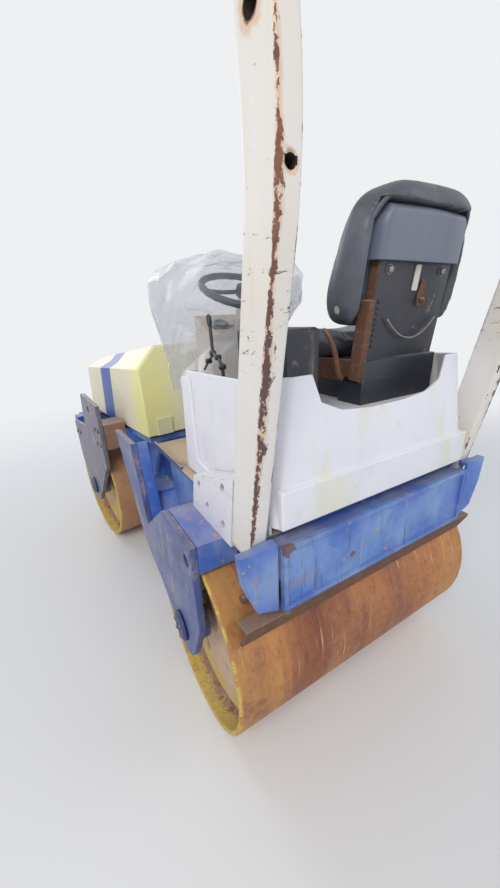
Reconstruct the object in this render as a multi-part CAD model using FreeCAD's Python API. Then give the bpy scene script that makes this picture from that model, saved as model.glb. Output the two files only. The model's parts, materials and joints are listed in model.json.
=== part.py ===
import FreeCAD, Part
import math
import os

# Ride-on articulated tandem roller, millimetres.
# +X forwards, +Y to the machine's left, +Z up. While it is drawn, x = y = 0 is the steering
# pin, halfway between the drum axles, and the ground is z = 0. The front half is drawn
# straight ahead and then turned about the steering pin by the parked angle. At the end the
# whole machine is moved so that the origin lies on the ground below its middle.
V = FreeCAD.Vector
os.makedirs("parts", exist_ok=True)

# Driving sizes
DRUM_WIDTH = 1000
DRUM_R = 340
WHEELBASE = 1400
PARKED_STEER = 8
RUN_GAP = 8
PIN_GAP = 1
SEAT_GAP = 0.3
OVERCUT = 1

# Corners of the bars that stand for round steel, by size
SIDES_DRUM = 48
SIDES_LARGE = 24
SIDES_BAR = 12
SIDES_PIPE = 8

# Drums
SHELL_T = 16
END_RECESS = 75
END_T = 12
END_HUB_R = 70
END_HUB_T = 10
JOURNAL_R = 30
JOURNAL_SHORT = 4
AXLE_X = WHEELBASE / 2
AXLE_Z = DRUM_R
HALF_W = DRUM_WIDTH / 2

# Side plates that carry the drums
ARM_T = 22
ARM_Y0 = HALF_W + RUN_GAP
ARM_Y1 = ARM_Y0 + ARM_T
HUB_R = 100
BOSS_R = 68
BOSS_IN = 52
CAP_R = 50
CAP_T = 14
CAP_EDGE = 6

# Heights and places that follow from the drum
FLOOR_Z = 2 * DRUM_R + 120
FLOOR_Y = HALF_W - 90
FRONT_WALL_X = -AXLE_X + DRUM_R + 42
PANEL_X = -AXLE_X - DRUM_R - 10

# Rear frame
FLOOR_T = 12
FLOOR_BACK_Y = FLOOR_Y - 22
FLOOR_FRONT = -170
FLOOR_BACK = PANEL_X + 50
LIP_T = 8
LIP_H = 10
WALL_T = 12
WALL_Y = FLOOR_Y - 20
FRONT_WALL_Z0 = 300
SIDE_WALL_Z0 = 2 * DRUM_R + 20
SIDE_KNEE_X = -AXLE_X + 140
DECK_T = 10
DECK_Z = FLOOR_Z - 58
DECK_KNEE = -AXLE_X + 60
DECK_KNEE_RUN = 20
DECK_KNEE_DROP = 8
DECK_BACK = -AXLE_X - 166
DECK_LIP_H = 90
NOSE_X = 20
NOSE_RISE = 40
RECESS_TOP_X = FRONT_WALL_X + 18
RECESS_TOP_Z = FLOOR_Z + 62
RECESS_LOW_X = FRONT_WALL_X - 67
RECESS_LOW_Z = AXLE_Z + 220
FLANGE_T = 10
FLANGE_W = 42
SHELF_X1 = FRONT_WALL_X + 128
SHELF_Z = RECESS_LOW_Z + 80
BRACE_X = (FRONT_WALL_X - 12, FRONT_WALL_X + 108)

# Water pipes: reach from the axle and angle above the horizontal
SPRAY_R = 11
SPRAY_Y = HALF_W - 60
SPRAY_REACH = DRUM_R + 40
SPRAY_ANGLE = math.radians(46)
SPRAY_X = SPRAY_REACH * math.cos(SPRAY_ANGLE)
SPRAY_Z = AXLE_Z + SPRAY_REACH * math.sin(SPRAY_ANGLE)
SPRAY_HANGER_Y = 250
SPRAY_HANGER_W = 24
SPRAY_HANGER_T = 10
NOZZLE_R = 7
NOZZLE_LEN = 24
NOZZLE_PITCH = 160
NOZZLE_SIDES = 6

# Rear panel, corners and cross member
PANEL_T = 14
PANEL_RIM = 6
PANEL_FOLD = 14
PANEL_Y = FLOOR_Y - 42
PANEL_Z0 = FLOOR_Z - 190
PANEL_Z1 = FLOOR_Z - 5
RAIL_T = 45
RAIL_Z0 = FLOOR_Z - 110
CORNER_Y0 = FLOOR_Y - 30
CORNER_T = 10
CORNER_X0 = PANEL_X + 64
CORNER_FLANGE = 24
# Each row: how far out from the corner's inner side, height over the floor, and how many
# wall thicknesses its hollow lies further in and further up
CORNER_ROWS = ((0, -182, 0, 2), (60, -160, 1, 1.5), (94, -70, 1, 0), (102, FLOOR_T, 1, -1),
               (0, FLOOR_T, 0, -1))
CROSS_HALF = 20
CROSS_X0 = -AXLE_X - SPRAY_X - CROSS_HALF
CROSS_X1 = -AXLE_X - SPRAY_X + CROSS_HALF
CROSS_Z0 = FLOOR_Z - 80
LINK_WALL_Y = FLOOR_Y - 70

# Scrapers
SCRAPER_EDGE_Z = AXLE_Z + 175
SCRAPER_GAP = 7
SCRAPER_H = 62
SCRAPER_LEAN = 30
SCRAPER_T = 12
SCRAPER_Y = HALF_W - 30
SCRAPER_SHELF = 34
SCRAPER_SHELF_T = 10
SCRAPER_HANGER_Y = 300
SCRAPER_HANGER_W = 50

# White body round the operator's place
TUB_T = 9
TUB_Y = FLOOR_Y - 38
TUB_REAR_Z0 = FLOOR_Z + 26
TUB_LEDGE_Z = FLOOR_Z + 125
TUB_LEDGE_T = 24
TUB_LEDGE_OUT = 4
TUB_LEDGE_END = 12
TUB_TOP_SIDE = FLOOR_Z + 345
TUB_TOP_BACK = TUB_TOP_SIDE + 27
TUB_DECK_Z = TUB_TOP_SIDE - 105
TUB_BACK_X = PANEL_X + 16
TUB_BACK_LEAN = 32
TUB_FRONT_X = -500
TUB_FRONT_LEAN = 45
TUB_HORN_Y = TUB_Y - 67
TUB_CHAMFER_RUN = 102
TUB_CHAMFER_FOOT = 15
TUB_NOTCH = ((TUB_HORN_Y - 55, 0), (TUB_HORN_Y - 80, -68), (TUB_HORN_Y - 145, -96),
             (TUB_HORN_Y - 245, -105))
TUB_NOTCH_DEPTH = 90
TUB_ENTRY_SIDE = 40
TUB_ENTRY_RUN = 75

# Roll-over frame: three points of each post's middle line, and its section
POST_DEPTH = 92
POST_WIDTH = 44
POST_WALL = 5
POST_Y0 = FLOOR_BACK_Y + 3
POST_FOOT = (PANEL_X + 85, FLOOR_Z - 40)
POST_BEND = (PANEL_X - 53, FLOOR_Z + 695)
POST_TOP = (PANEL_X + 30, FLOOR_Z + 1530)
POST_SIDE_HOLE_R = 17
POST_SIDE_HOLE_RISE = 161
POST_BACK_HOLE_R = 9
POST_BACK_HOLE_DROP = 15
CROSS_H = 60
CROSS_W = 60
CROSS_WALL = 4
FOOT_T = 12
FOOT_SLOT_R = 8
FOOT_SLOT_LEN = 32
FOOT_SLOT_TURN = 35
FOOT_SHELF_T = 8
# Distance ahead of the post's foot and height over the floor: the upper front corner, the
# slope of the top edge, the rear edge of the outer plate and that of the inner one, and the
# middles of the slots
FOOT_CORNER = (271, 63)
FOOT_RISE = 0.32
FOOT_NOSE = 305
FOOT_OUTER_BACK = ((49, -40), 16)
FOOT_INNER_BACK = (5, -30)
FOOT_SLOTS = ((78, 99), (187, -3), (91, -12), (236, 44))

# Operator's chair: its middle line lies to the machine's right
CHAIR_Y = -170
CHAIR_HALF = 215
BACK_X = PANEL_X + 145
BACK_LEAN = 7
BACK_T = 120
BACK_ROUND = 95
PAN_Z0 = TUB_DECK_Z + 60
PAN_H = 65
CUSHION_X0 = BACK_X + 63
CUSHION_LEN = 372
CUSHION_Z0 = PAN_Z0 + PAN_H
CUSHION_T = 88
CUSHION_EDGE = 22
BACK_Z0 = PAN_Z0 + 85
BACK_H = 368
FRAME_HALF = 150
FRAME_T = 30
BACK_POCKET = FRAME_T + SEAT_GAP
FRAME_TOP_GAP = 20
SIDE_BRACKET_W = 22
SIDE_BRACKET_H = 220
PAN_FRONT_GAP = 30
RAIL_FRONT_GAP = 60
RAIL_HALF = 16
RAIL_SPREAD = 120
COVER_HALF = FRAME_HALF + 22
COVER_T = 14
COVER_CHEEK = 10
COVER_BACK = COVER_T + SEAT_GAP
COVER_WRAP = FRAME_T - 2
COVER_Z0 = BACK_Z0 + 227
COVER_Z1 = BACK_Z0 + 340
COVER_GAP = 8

# Controls
CONSOLE_X0 = -345
CONSOLE_X1 = -205
CONSOLE_Y = 60
CONSOLE_HALF = 130
CONSOLE_T = 8
CONSOLE_TOP = FLOOR_Z + 510
CONSOLE_SLOPE = 70
CONSOLE_KNEE = 280
CONSOLE_TOE = 30
WHEEL_R = 170
WHEEL_RIM_R = 13
WHEEL_TILT = 24
WHEEL_HUB_R = 34
WHEEL_HUB_H = 40
WHEEL_SPOKE_R = 8
WHEEL_SECTION = 6
WHEEL_CENTRE = V(CONSOLE_X0 - 55, CONSOLE_Y, CONSOLE_TOP + 75)
COLUMN_R = 22
COLUMN_LEN = 205
LEVER_BOX_X = (BACK_X + 25, BACK_X + 345)
LEVER_BOX_Y = (122, 232)
LEVER_BOX_H = 222
STICK_R = 8
STICK_H = 130
KNOB_R = 18
KNOB_H = 36
HAND_LEVER_X = TUB_FRONT_X - 200
HAND_LEVER_Y = TUB_Y - 54
HAND_LEVER_BASE = (70, 28, 95)
HAND_LEVER_REACH = (-45, 115)

# Dust sheet over the wheel and console: each row is its height over the floor, how far it
# reaches behind its front, its right and left edges, and its right and left corner cuts
SHEET_T = 4
SHEET_FRONT = CONSOLE_X1 + 16
SHEET_ROWS = [
    (220, 206, -95, 330, 20, 90),
    (420, 262, -105, 338, 25, 100),
    (535, 400, -124, 378, 45, 100),
    (620, 412, -124, 392, 70, 100),
    (660, 385, -100, 350, 80, 95),
    (692, 300, -40, 250, 80, 80),
]

# Steering pin, yokes, link and cylinder
PIN_R = 20
PIN_HEAD = 14
PIN_HEAD_H = 12
YOKE_T = 26
YOKE_HALF = 72
YOKE_WEB_HALF = 200
YOKE_WEB_X = -120
YOKE_Z = (362, 552)
LINK_HALF = 58
LINK_GAP = 6
LINK_NECK = 46
LINK_NECK_X = 84
OSC_Z = 470
OSC_R = 30
OSC_COLLAR = 18
HOUSING_R = 62
HOUSING_X0 = 104
ARM_EYE = (12, -120)
ARM_PLATE_T = 20
ARM_PLATE_Z = OSC_Z - 38
CYL_BASE = (FRONT_WALL_X + 50, -112)
CYL_R = 24
EAR_T = 12
EAR_GAP = 3
ROD_R = 12
EYE_R = 20
EYE_PIN_R = 9
BARREL_LEN = 195
BARREL_BACK = 40
ROD_IN = 75
ROD_EYE_Z = (OSC_Z - 14, OSC_Z + 12)

# Lifting eyes in the front plates and tie-down holes in the rear plates
EYE_FRONT = (AXLE_X - 210, AXLE_Z + 528)
EYE_REAR = (-AXLE_X - 128, AXLE_Z + 345)
LIFT_EYE_R = 18

# Front frame
TOP_Z0 = 2 * DRUM_R + 42
TOP_T = 30
TOP_Z1 = TOP_Z0 + TOP_T
TOP_X0 = 110
TOP_X1 = AXLE_X + SPRAY_X + 26
TOP_Y = HALF_W - 140
BACK_PLATE_X0 = AXLE_X - DRUM_R - 80
BACK_PLATE_T = 22
BACK_PLATE_Y = 300
BACK_PLATE_Z0 = 360
OSC_END = BACK_PLATE_X0 + 12
REAR_OUTRIGGER = (AXLE_X - 350, AXLE_X - 210, TOP_Z0 - 60, TOP_Z0 + 78)
FRONT_OUTRIGGER = (TOP_X1 - 85, TOP_X1 - 5, TOP_Z0 - 82, TOP_Z0 + 20)
FRONT_PANEL_X0 = TOP_X1 + 30
FRONT_PANEL_T = 12
FRONT_PANEL_Y = HALF_W - 30
FRONT_PANEL_Z0 = TOP_Z0 - 124
FRONT_PANEL_Z1 = TOP_Z0 + 20
OUTRIGGER_GAP = 14
GUSSET_GAP = 30
RECESS_GAP = 6
ENGINE_X = (AXLE_X - 340, AXLE_X + 130)
ENGINE_HALF = 205
ENGINE_H = 278

# Hood: rear and front values of its belt, ridge and rake
HOOD_T = 8
HOOD_X0 = 75
HOOD_X1 = TOP_X1 + 10
HOOD_Z0 = TOP_Z1 + 16
HOOD_Y = HALF_W - 120
HOOD_RIDGE_Y = HOOD_Y - 98
HOOD_BELT_H = (324, 274)
HOOD_RIDGE_H = (424, 324)
HOOD_RAKE = (28, -66)
HOOD_LIP_H = 14
HOOD_LIP_W = 20
HOOD_HANDLE = (10, 80, 84)
HOOD_HANDLE_Y = 250
HOOD_HANDLE_RISE = 2
HINGE_X = HOOD_X1 + 12
HINGE_Z = FRONT_PANEL_Z1 + 20
HINGE_R = 9
HINGE_Y = 250
HINGE_HALF = 10
HINGE_SIDE_GAP = 4
HINGE_LUG_T = 8
HINGE_LUG_R = 12
HINGE_RING = 16
HINGE_SINK = 2


def box(x0, x1, y0, y1, z0, z1):
    return Part.makeBox(x1 - x0, y1 - y0, z1 - z0, V(x0, y0, z0))


def flat_face(points):
    return Part.Face(Part.makePolygon(points + [points[0]]))


def prism(points, direction):
    return flat_face(points).extrude(direction)


def prism_xz(outline, y0, y1):
    return prism([V(x, y0, z) for x, z in outline], V(0, y1 - y0, 0))


def prism_yz(outline, x0, x1):
    return prism([V(x0, y, z) for y, z in outline], V(x1 - x0, 0, 0))


def prism_xy(outline, z0, z1):
    return prism([V(x, y, z0) for x, y in outline], V(0, 0, z1 - z0))


def rod(start, end, radius):
    line = end - start
    return Part.makeCylinder(radius, line.Length, start, line)


def rod_y(x, z, radius, y0, y1):
    return rod(V(x, y0, z), V(x, y1, z), radius)


def rod_z(x, y, radius, z0, z1):
    return rod(V(x, y, z0), V(x, y, z1), radius)


def ring(centre, along, radius, sides):
    """Corners of an even-sided figure square to a direction, on a circle about a centre."""
    up = V(1, 0, 0) if abs(along.z) > along.Length / 2 else V(0, 0, 1)
    across = up.cross(along).normalize()
    other = along.cross(across).normalize()
    turns = [2 * math.pi * i / sides for i in range(sides)]
    return [centre + (across * math.cos(a) + other * math.sin(a)) * radius for a in turns]


def bar(start, end, radius, sides):
    """Straight bar whose corners lie on its radius."""
    return prism(ring(start, end - start, radius, sides), end - start)


def bar_y(x, z, radius, y0, y1, sides):
    return bar(V(x, y0, z), V(x, y1, z), radius, sides)


def bar_z(x, y, radius, z0, z1, sides):
    return bar(V(x, y, z0), V(x, y, z1), radius, sides)


def fuse(shapes):
    return shapes[0].multiFuse(shapes[1:]).removeSplitter()


def cut(shape, tools):
    for tool in tools:
        shape = shape.cut(tool)
    return shape


def mirrored(shape):
    return shape.mirror(V(0, 0, 0), V(0, 1, 0))


def both(shape):
    return Part.makeCompound([shape, mirrored(shape)])


def side_range(side, inner, outer):
    """Range of y between two distances from the middle plane, on one side of it."""
    return sorted((side * inner, side * outer))


def parked(shape):
    """Turn a piece of the front half about the steering pin to the parked angle."""
    turned = shape.copy()
    turned.rotate(V(0, 0, 0), V(0, 0, 1), PARKED_STEER)
    return turned


def folded(rings):
    """Sheet-metal solid through closed rings of corners: flat ends, and flat sides
    between each ring and the next, with a fold across a side that isn't flat."""
    faces = [flat_face(rings[0]), flat_face(rings[-1])]
    for low, high in zip(rings[:-1], rings[1:]):
        for i in range(len(low)):
            j = (i + 1) % len(low)
            a, b, c, d = low[i], low[j], high[j], high[i]
            normal = (b - a).cross(c - a)
            if abs(normal.dot(d - a)) < 1e-6 * normal.Length:
                faces.append(flat_face([a, b, c, d]))
            else:
                faces += [flat_face([a, b, c]), flat_face([a, c, d])]
    solid = Part.Solid(Part.Shell(faces))
    if solid.Volume < 0:
        solid.reverse()
    return solid


def strip_outline(path, half):
    """Outline of a bar of even depth along three points in the XZ plane, mitred at the
    middle one and cut level at both ends."""
    (x0, z0), (x1, z1), (x2, z2) = path
    lower = (x1 - x0) / (z1 - z0)
    upper = (x2 - x1) / (z2 - z1)
    run_low = half * math.hypot(1, lower)
    run_high = half * math.hypot(1, upper)
    bend = (run_low - run_high) / (upper - lower)
    back = [(x0 - run_low, z0), (x1 - run_low + bend * lower, z1 + bend),
            (x2 - run_high, z2)]
    front = [(x2 + run_high, z2), (x1 + run_low - bend * lower, z1 - bend),
             (x0 + run_low, z0)]
    return back + front


def drum(axle_x):
    """Drum shell, and its two recessed end plates with the journals they turn on."""
    outer = rod_y(axle_x, AXLE_Z, DRUM_R, -HALF_W, HALF_W)
    inner = rod_y(axle_x, AXLE_Z, DRUM_R - SHELL_T, -HALF_W, HALF_W)
    y1 = HALF_W - END_RECESS
    plate = bar_y(axle_x, AXLE_Z, DRUM_R - SHELL_T, y1 - END_T, y1, SIDES_DRUM)
    hub = bar_y(axle_x, AXLE_Z, END_HUB_R, y1, y1 + END_HUB_T, SIDES_LARGE)
    journal = rod_y(axle_x, AXLE_Z, JOURNAL_R, y1, ARM_Y1 - JOURNAL_SHORT)
    return outer.cut(inner), both(fuse([plate, hub, journal]))


def arm(outline, axle_x, eye):
    """Side plate with its round end, the boss that reaches into the drum, and an eye."""
    plate = prism_xz(outline, ARM_Y0, ARM_Y1)
    end = bar_y(axle_x, AXLE_Z, HUB_R, ARM_Y0, ARM_Y1, SIDES_LARGE)
    boss = bar_y(axle_x, AXLE_Z, BOSS_R, ARM_Y0 - BOSS_IN, ARM_Y0, SIDES_LARGE)
    bore = rod_y(axle_x, AXLE_Z, JOURNAL_R + PIN_GAP, ARM_Y0 - BOSS_IN, ARM_Y1)
    hole = rod_y(eye[0], eye[1], LIFT_EYE_R, ARM_Y0, ARM_Y1)
    return cut(fuse([plate, end, boss]), [bore, hole])


def hub_caps(axle_x):
    """Round covers outside the side plates, bevelled at their outer edge."""
    y1 = ARM_Y1 + CAP_T
    rings = [ring(V(axle_x, y, AXLE_Z), V(0, 1, 0), radius, SIDES_LARGE)
             for y, radius in ((ARM_Y1, CAP_R), (y1 - CAP_EDGE, CAP_R), (y1, CAP_R - CAP_EDGE))]
    return both(folded(rings))


# Outlines of the side plates in the XZ plane, from the nose or top edge round to the rear
REAR_ARM = [
    (NOSE_X, FLOOR_Z + NOSE_RISE), (-AXLE_X + 460, AXLE_Z + 150),
    (-AXLE_X + 395, AXLE_Z + 82), (-AXLE_X + 250, AXLE_Z + 38),
    (-AXLE_X + 92, AXLE_Z - 40), (-AXLE_X - 92, AXLE_Z - 40), (DECK_BACK - 6, AXLE_Z + 130),
    (DECK_BACK, AXLE_Z + 280), (DECK_BACK, DECK_Z), (DECK_KNEE, DECK_Z),
    (DECK_KNEE + DECK_KNEE_RUN, DECK_Z - DECK_KNEE_DROP), (RECESS_LOW_X, RECESS_LOW_Z),
    (RECESS_TOP_X, RECESS_TOP_Z),
]
FRONT_ARM = [
    (AXLE_X - 355, AXLE_Z + 565), (AXLE_X - 355, AXLE_Z + 235),
    (AXLE_X - 92, AXLE_Z - 40), (AXLE_X + 92, AXLE_Z - 40), (AXLE_X + 180, AXLE_Z + 140),
    (AXLE_X + 200, AXLE_Z + 385), (AXLE_X - 60, AXLE_Z + 405), (AXLE_X - 95, AXLE_Z + 590),
    (AXLE_X - 115, AXLE_Z + 600),
]


def rear_chassis():
    """Welded frame: front wall, side walls, rear rail, wheel-arch decks and yokes."""
    back = PANEL_X + PANEL_T
    under = FLOOR_Z - FLOOR_T
    parts = [
        box(FRONT_WALL_X, FRONT_WALL_X + WALL_T, -WALL_Y, WALL_Y, FRONT_WALL_Z0, under),
        box(back, back + RAIL_T, -PANEL_Y, PANEL_Y, RAIL_Z0, under),
        box(CROSS_X0, CROSS_X1, -WALL_Y, WALL_Y, CROSS_Z0, under),
    ]
    wall = [(CORNER_X0, SIDE_WALL_Z0), (SIDE_KNEE_X, SIDE_WALL_Z0),
            (FRONT_WALL_X, RECESS_LOW_Z), (FRONT_WALL_X, under), (CORNER_X0, under)]
    for side in (1, -1):
        parts.append(prism_xz(wall, *side_range(side, WALL_Y - WALL_T, WALL_Y)))
        parts.append(box(back, CROSS_X1, *side_range(side, LINK_WALL_Y - WALL_T, LINK_WALL_Y),
                         CROSS_Z0, under))
        parts.append(deck(side))
        parts.append(nose_box(side))
    for z in YOKE_Z:
        plate = box(FRONT_WALL_X, 0, -YOKE_HALF, YOKE_HALF, z, z + YOKE_T)
        nose = bar_z(0, 0, YOKE_HALF, z, z + YOKE_T, SIDES_LARGE)
        web = prism_xy([(FRONT_WALL_X, -YOKE_WEB_HALF), (FRONT_WALL_X, YOKE_WEB_HALF),
                        (YOKE_WEB_X, YOKE_HALF), (YOKE_WEB_X, -YOKE_HALF)], z, z + YOKE_T)
        parts += [plate, nose, web]
    parts.append(cylinder_ears())
    pin_hole = rod_z(0, 0, PIN_R, YOKE_Z[0], YOKE_Z[1] + YOKE_T)
    return fuse(parts).cut(pin_hole)


def deck(side):
    """Mudguard over the drum's end, which bends down ahead of it to the step."""
    top = [(DECK_BACK, DECK_Z), (DECK_KNEE, DECK_Z),
           (DECK_KNEE + DECK_KNEE_RUN, DECK_Z - DECK_KNEE_DROP), (RECESS_LOW_X, RECESS_LOW_Z)]
    low = [(x, z - DECK_T) for x, z in reversed(top)]
    y0, y1 = side_range(side, WALL_Y, ARM_Y0)
    skin = prism_xz(top + low, y0, y1)
    rear = box(DECK_BACK, DECK_BACK + DECK_T, y0, y1, DECK_Z - DECK_LIP_H, DECK_Z)
    return fuse([skin, rear])


def nose_box(side):
    """Ties the nose of the side plate to the front wall, and lines the step's front."""
    y0, y1 = side_range(side, WALL_Y - WALL_T, ARM_Y0)
    liner = prism_xz([(RECESS_TOP_X, RECESS_TOP_Z), (RECESS_TOP_X + FLANGE_T, RECESS_TOP_Z),
                      (RECESS_LOW_X + FLANGE_T, RECESS_LOW_Z), (RECESS_LOW_X, RECESS_LOW_Z)],
                     *side_range(side, ARM_Y0 - FLANGE_W, ARM_Y0))
    wall_x = FRONT_WALL_X + WALL_T
    shelf = box(FRONT_WALL_X, SHELF_X1, y0, y1, SHELF_Z, SHELF_Z + DECK_T)
    foot = prism_xz([(RECESS_LOW_X, RECESS_LOW_Z - DECK_T), (wall_x, SHELF_Z),
                     (wall_x, SHELF_Z + DECK_T), (RECESS_LOW_X, RECESS_LOW_Z)], y0, y1)
    brace = box(*BRACE_X, *side_range(side, ARM_Y0 - WALL_T, ARM_Y0), RECESS_LOW_Z,
                SHELF_Z + DECK_T)
    return fuse([shelf, foot, liner, brace])


def cylinder_ears():
    """Two lugs on the front wall that hold the pin at the steering cylinder's base."""
    x, y = CYL_BASE
    half = CYL_R + EAR_GAP
    lugs = []
    for z0 in (OSC_Z - half - EAR_T, OSC_Z + half):
        lugs.append(box(FRONT_WALL_X + WALL_T, x, y - EYE_R, y + EYE_R, z0, z0 + EAR_T))
        lugs.append(bar_z(x, y, EYE_R, z0, z0 + EAR_T, SIDES_BAR))
    reach = half + EAR_T + EAR_GAP
    pin = bar_z(x, y, EYE_PIN_R, OSC_Z - reach, OSC_Z + reach, SIDES_BAR)
    return fuse(lugs + [pin])


def rear_platform():
    """Floor plate with a raised lip along both sides."""
    z0 = FLOOR_Z - FLOOR_T
    wide = box(DECK_BACK, FLOOR_FRONT, -FLOOR_Y, FLOOR_Y, z0, FLOOR_Z)
    narrow = box(FLOOR_BACK, DECK_BACK, -FLOOR_BACK_Y, FLOOR_BACK_Y, z0, FLOOR_Z)
    lip = box(TUB_FRONT_X, FLOOR_FRONT, FLOOR_Y - LIP_T, FLOOR_Y, FLOOR_Z, FLOOR_Z + LIP_H)
    return fuse([wide, narrow, lip, mirrored(lip)])


def rear_panel():
    """Flat blue door at the back, with a folded edge all round."""
    x0 = PANEL_X - PANEL_RIM
    whole = box(x0, PANEL_X + PANEL_T, -PANEL_Y, PANEL_Y, PANEL_Z0, PANEL_Z1)
    y = PANEL_Y - PANEL_FOLD
    dish = box(x0, PANEL_X, -y, y, PANEL_Z0 + PANEL_FOLD, PANEL_Z1 - PANEL_FOLD)
    return whole.cut(dish)


def rear_corners():
    """Tapered box at each rear corner, under the foot of the roll-over frame."""
    def profile(inset):
        return [(CORNER_Y0 + out - inset * further_in, FLOOR_Z + rise + inset * further_up)
                for out, rise, further_in, further_up in CORNER_ROWS]

    body = prism_yz(profile(0), PANEL_X, CORNER_X0)
    hollow = prism_yz(profile(CORNER_T), PANEL_X + CORNER_T, CORNER_X0)
    slot = prism_xz(strip_outline([POST_FOOT, POST_BEND, POST_TOP],
                                  POST_DEPTH / 2 + PIN_GAP),
                    POST_Y0 - FOOT_T, POST_Y0 + POST_WIDTH + PIN_GAP)
    y1 = POST_Y0 + POST_WIDTH + PIN_GAP
    beside = box(PANEL_X + CORNER_FLANGE, CORNER_X0, y1, HALF_W, PANEL_Z0 - FLOOR_T,
                 FLOOR_Z + FLOOR_T)
    return both(cut(body, [hollow, slot, beside]))


def scraper(axle_x, side, hang_x, hang_z):
    """Blade along the drum and the angle that carries it; side is -1 behind the drum."""
    drop = AXLE_Z - SCRAPER_EDGE_Z
    edge = axle_x + side * (math.sqrt(DRUM_R ** 2 - drop ** 2) + SCRAPER_GAP)
    back = side * SCRAPER_T
    top_x = edge + side * SCRAPER_LEAN
    top_z = SCRAPER_EDGE_Z + SCRAPER_H
    blade = prism_xz([(edge, SCRAPER_EDGE_Z), (edge + back, SCRAPER_EDGE_Z),
                      (top_x + back, top_z), (top_x, top_z)], -SCRAPER_Y, SCRAPER_Y)
    x0, x1 = sorted((top_x - side * SCRAPER_SHELF, top_x + back))
    hang_x1 = hang_x + SCRAPER_T
    shelf = box(min(x0, hang_x), max(x1, hang_x1), -SCRAPER_Y, SCRAPER_Y, top_z,
                top_z + SCRAPER_SHELF_T)
    parts = [blade, shelf]
    for y in (-SCRAPER_HANGER_Y, SCRAPER_HANGER_Y):
        parts.append(box(hang_x, hang_x1, y - SCRAPER_HANGER_W / 2, y + SCRAPER_HANGER_W / 2,
                         top_z + SCRAPER_SHELF_T, hang_z))
    return fuse(parts)


def spray_bar(axle_x, side, hang_z):
    """Water pipe across the drum, with short hangers and a row of six-sided nozzles."""
    x = axle_x + side * SPRAY_X
    parts = [bar_y(x, SPRAY_Z, SPRAY_R, -SPRAY_Y, SPRAY_Y, SIDES_PIPE)]
    count = int(2 * SPRAY_Y / NOZZLE_PITCH)
    for i in range(count + 1):
        y = (i - count / 2) * NOZZLE_PITCH
        parts.append(bar_z(x, y, NOZZLE_R, SPRAY_Z - NOZZLE_LEN, SPRAY_Z, NOZZLE_SIDES))
    t, w = SPRAY_HANGER_T / 2, SPRAY_HANGER_W / 2
    for y in (-SPRAY_HANGER_Y, SPRAY_HANGER_Y):
        parts.append(box(x - t, x + t, y - w, y + w, SPRAY_Z, hang_z))
    return fuse(parts)


def tub_ring(z, inset):
    """Six corners of the white body at one height: it leans in towards the top, where the
    bevel of its rear corners is widest."""
    share = (z - FLOOR_Z) / (TUB_TOP_BACK - FLOOR_Z)
    back = TUB_BACK_X + TUB_BACK_LEAN * share
    front = TUB_FRONT_X - TUB_FRONT_LEAN * share
    run = TUB_CHAMFER_FOOT + (TUB_CHAMFER_RUN - TUB_CHAMFER_FOOT) * share
    drop = run * (TUB_Y - TUB_HORN_Y) / TUB_CHAMFER_RUN
    wide = TUB_Y - inset
    back, front = back + inset, front - inset
    half = [V(front, wide, z), V(back + run, wide, z), V(back, wide - drop, z)]
    return half + [V(p.x, -p.y, p.z) for p in reversed(half)]


def tub():
    """Hollow body: leaning walls, bevelled rear corners, two horns with a notch between
    them, an open front above the deck and a ledge along the back."""
    top = TUB_TOP_BACK
    outer = folded([tub_ring(FLOOR_Z, 0), tub_ring(top, 0)])
    ledge = box(TUB_BACK_X - TUB_LEDGE_OUT, TUB_BACK_X - TUB_LEDGE_OUT + TUB_LEDGE_T,
                -TUB_Y + TUB_LEDGE_END, TUB_Y - TUB_LEDGE_END, TUB_REAR_Z0, TUB_LEDGE_Z)
    below = folded([tub_ring(FLOOR_Z - OVERCUT, TUB_T), tub_ring(TUB_DECK_Z - TUB_T, TUB_T)])
    above = folded([tub_ring(TUB_DECK_Z, TUB_T), tub_ring(top + OVERCUT, TUB_T)])
    chamfer_x = TUB_BACK_X + TUB_BACK_LEAN + TUB_CHAMFER_RUN
    high = top + TUB_T
    slope = prism_xz([(TUB_FRONT_X, TUB_TOP_SIDE), (chamfer_x, (TUB_TOP_SIDE + top) / 2),
                      (TUB_BACK_X, top), (TUB_BACK_X, high), (TUB_FRONT_X, high)],
                     -TUB_Y - OVERCUT, TUB_Y + OVERCUT)
    left = [(y, top + z) for y, z in TUB_NOTCH]
    right = [(-y, z) for y, z in reversed(left)]
    notch = prism_yz([(left[0][0], high)] + left + right + [(right[-1][0], high)],
                     TUB_BACK_X - OVERCUT, TUB_BACK_X + TUB_NOTCH_DEPTH)
    y = TUB_Y - TUB_ENTRY_SIDE
    entry = box(TUB_FRONT_X - TUB_FRONT_LEAN - TUB_ENTRY_RUN, TUB_FRONT_X, -y, y, TUB_DECK_Z,
                high)
    back_cut = box(TUB_BACK_X - TUB_LEDGE_OUT - OVERCUT, FLOOR_BACK, -TUB_Y - OVERCUT,
                   TUB_Y + OVERCUT, FLOOR_Z - OVERCUT, TUB_REAR_Z0)
    return cut(fuse([outer, ledge]), [below, above, slope, notch, entry, back_cut])


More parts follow.
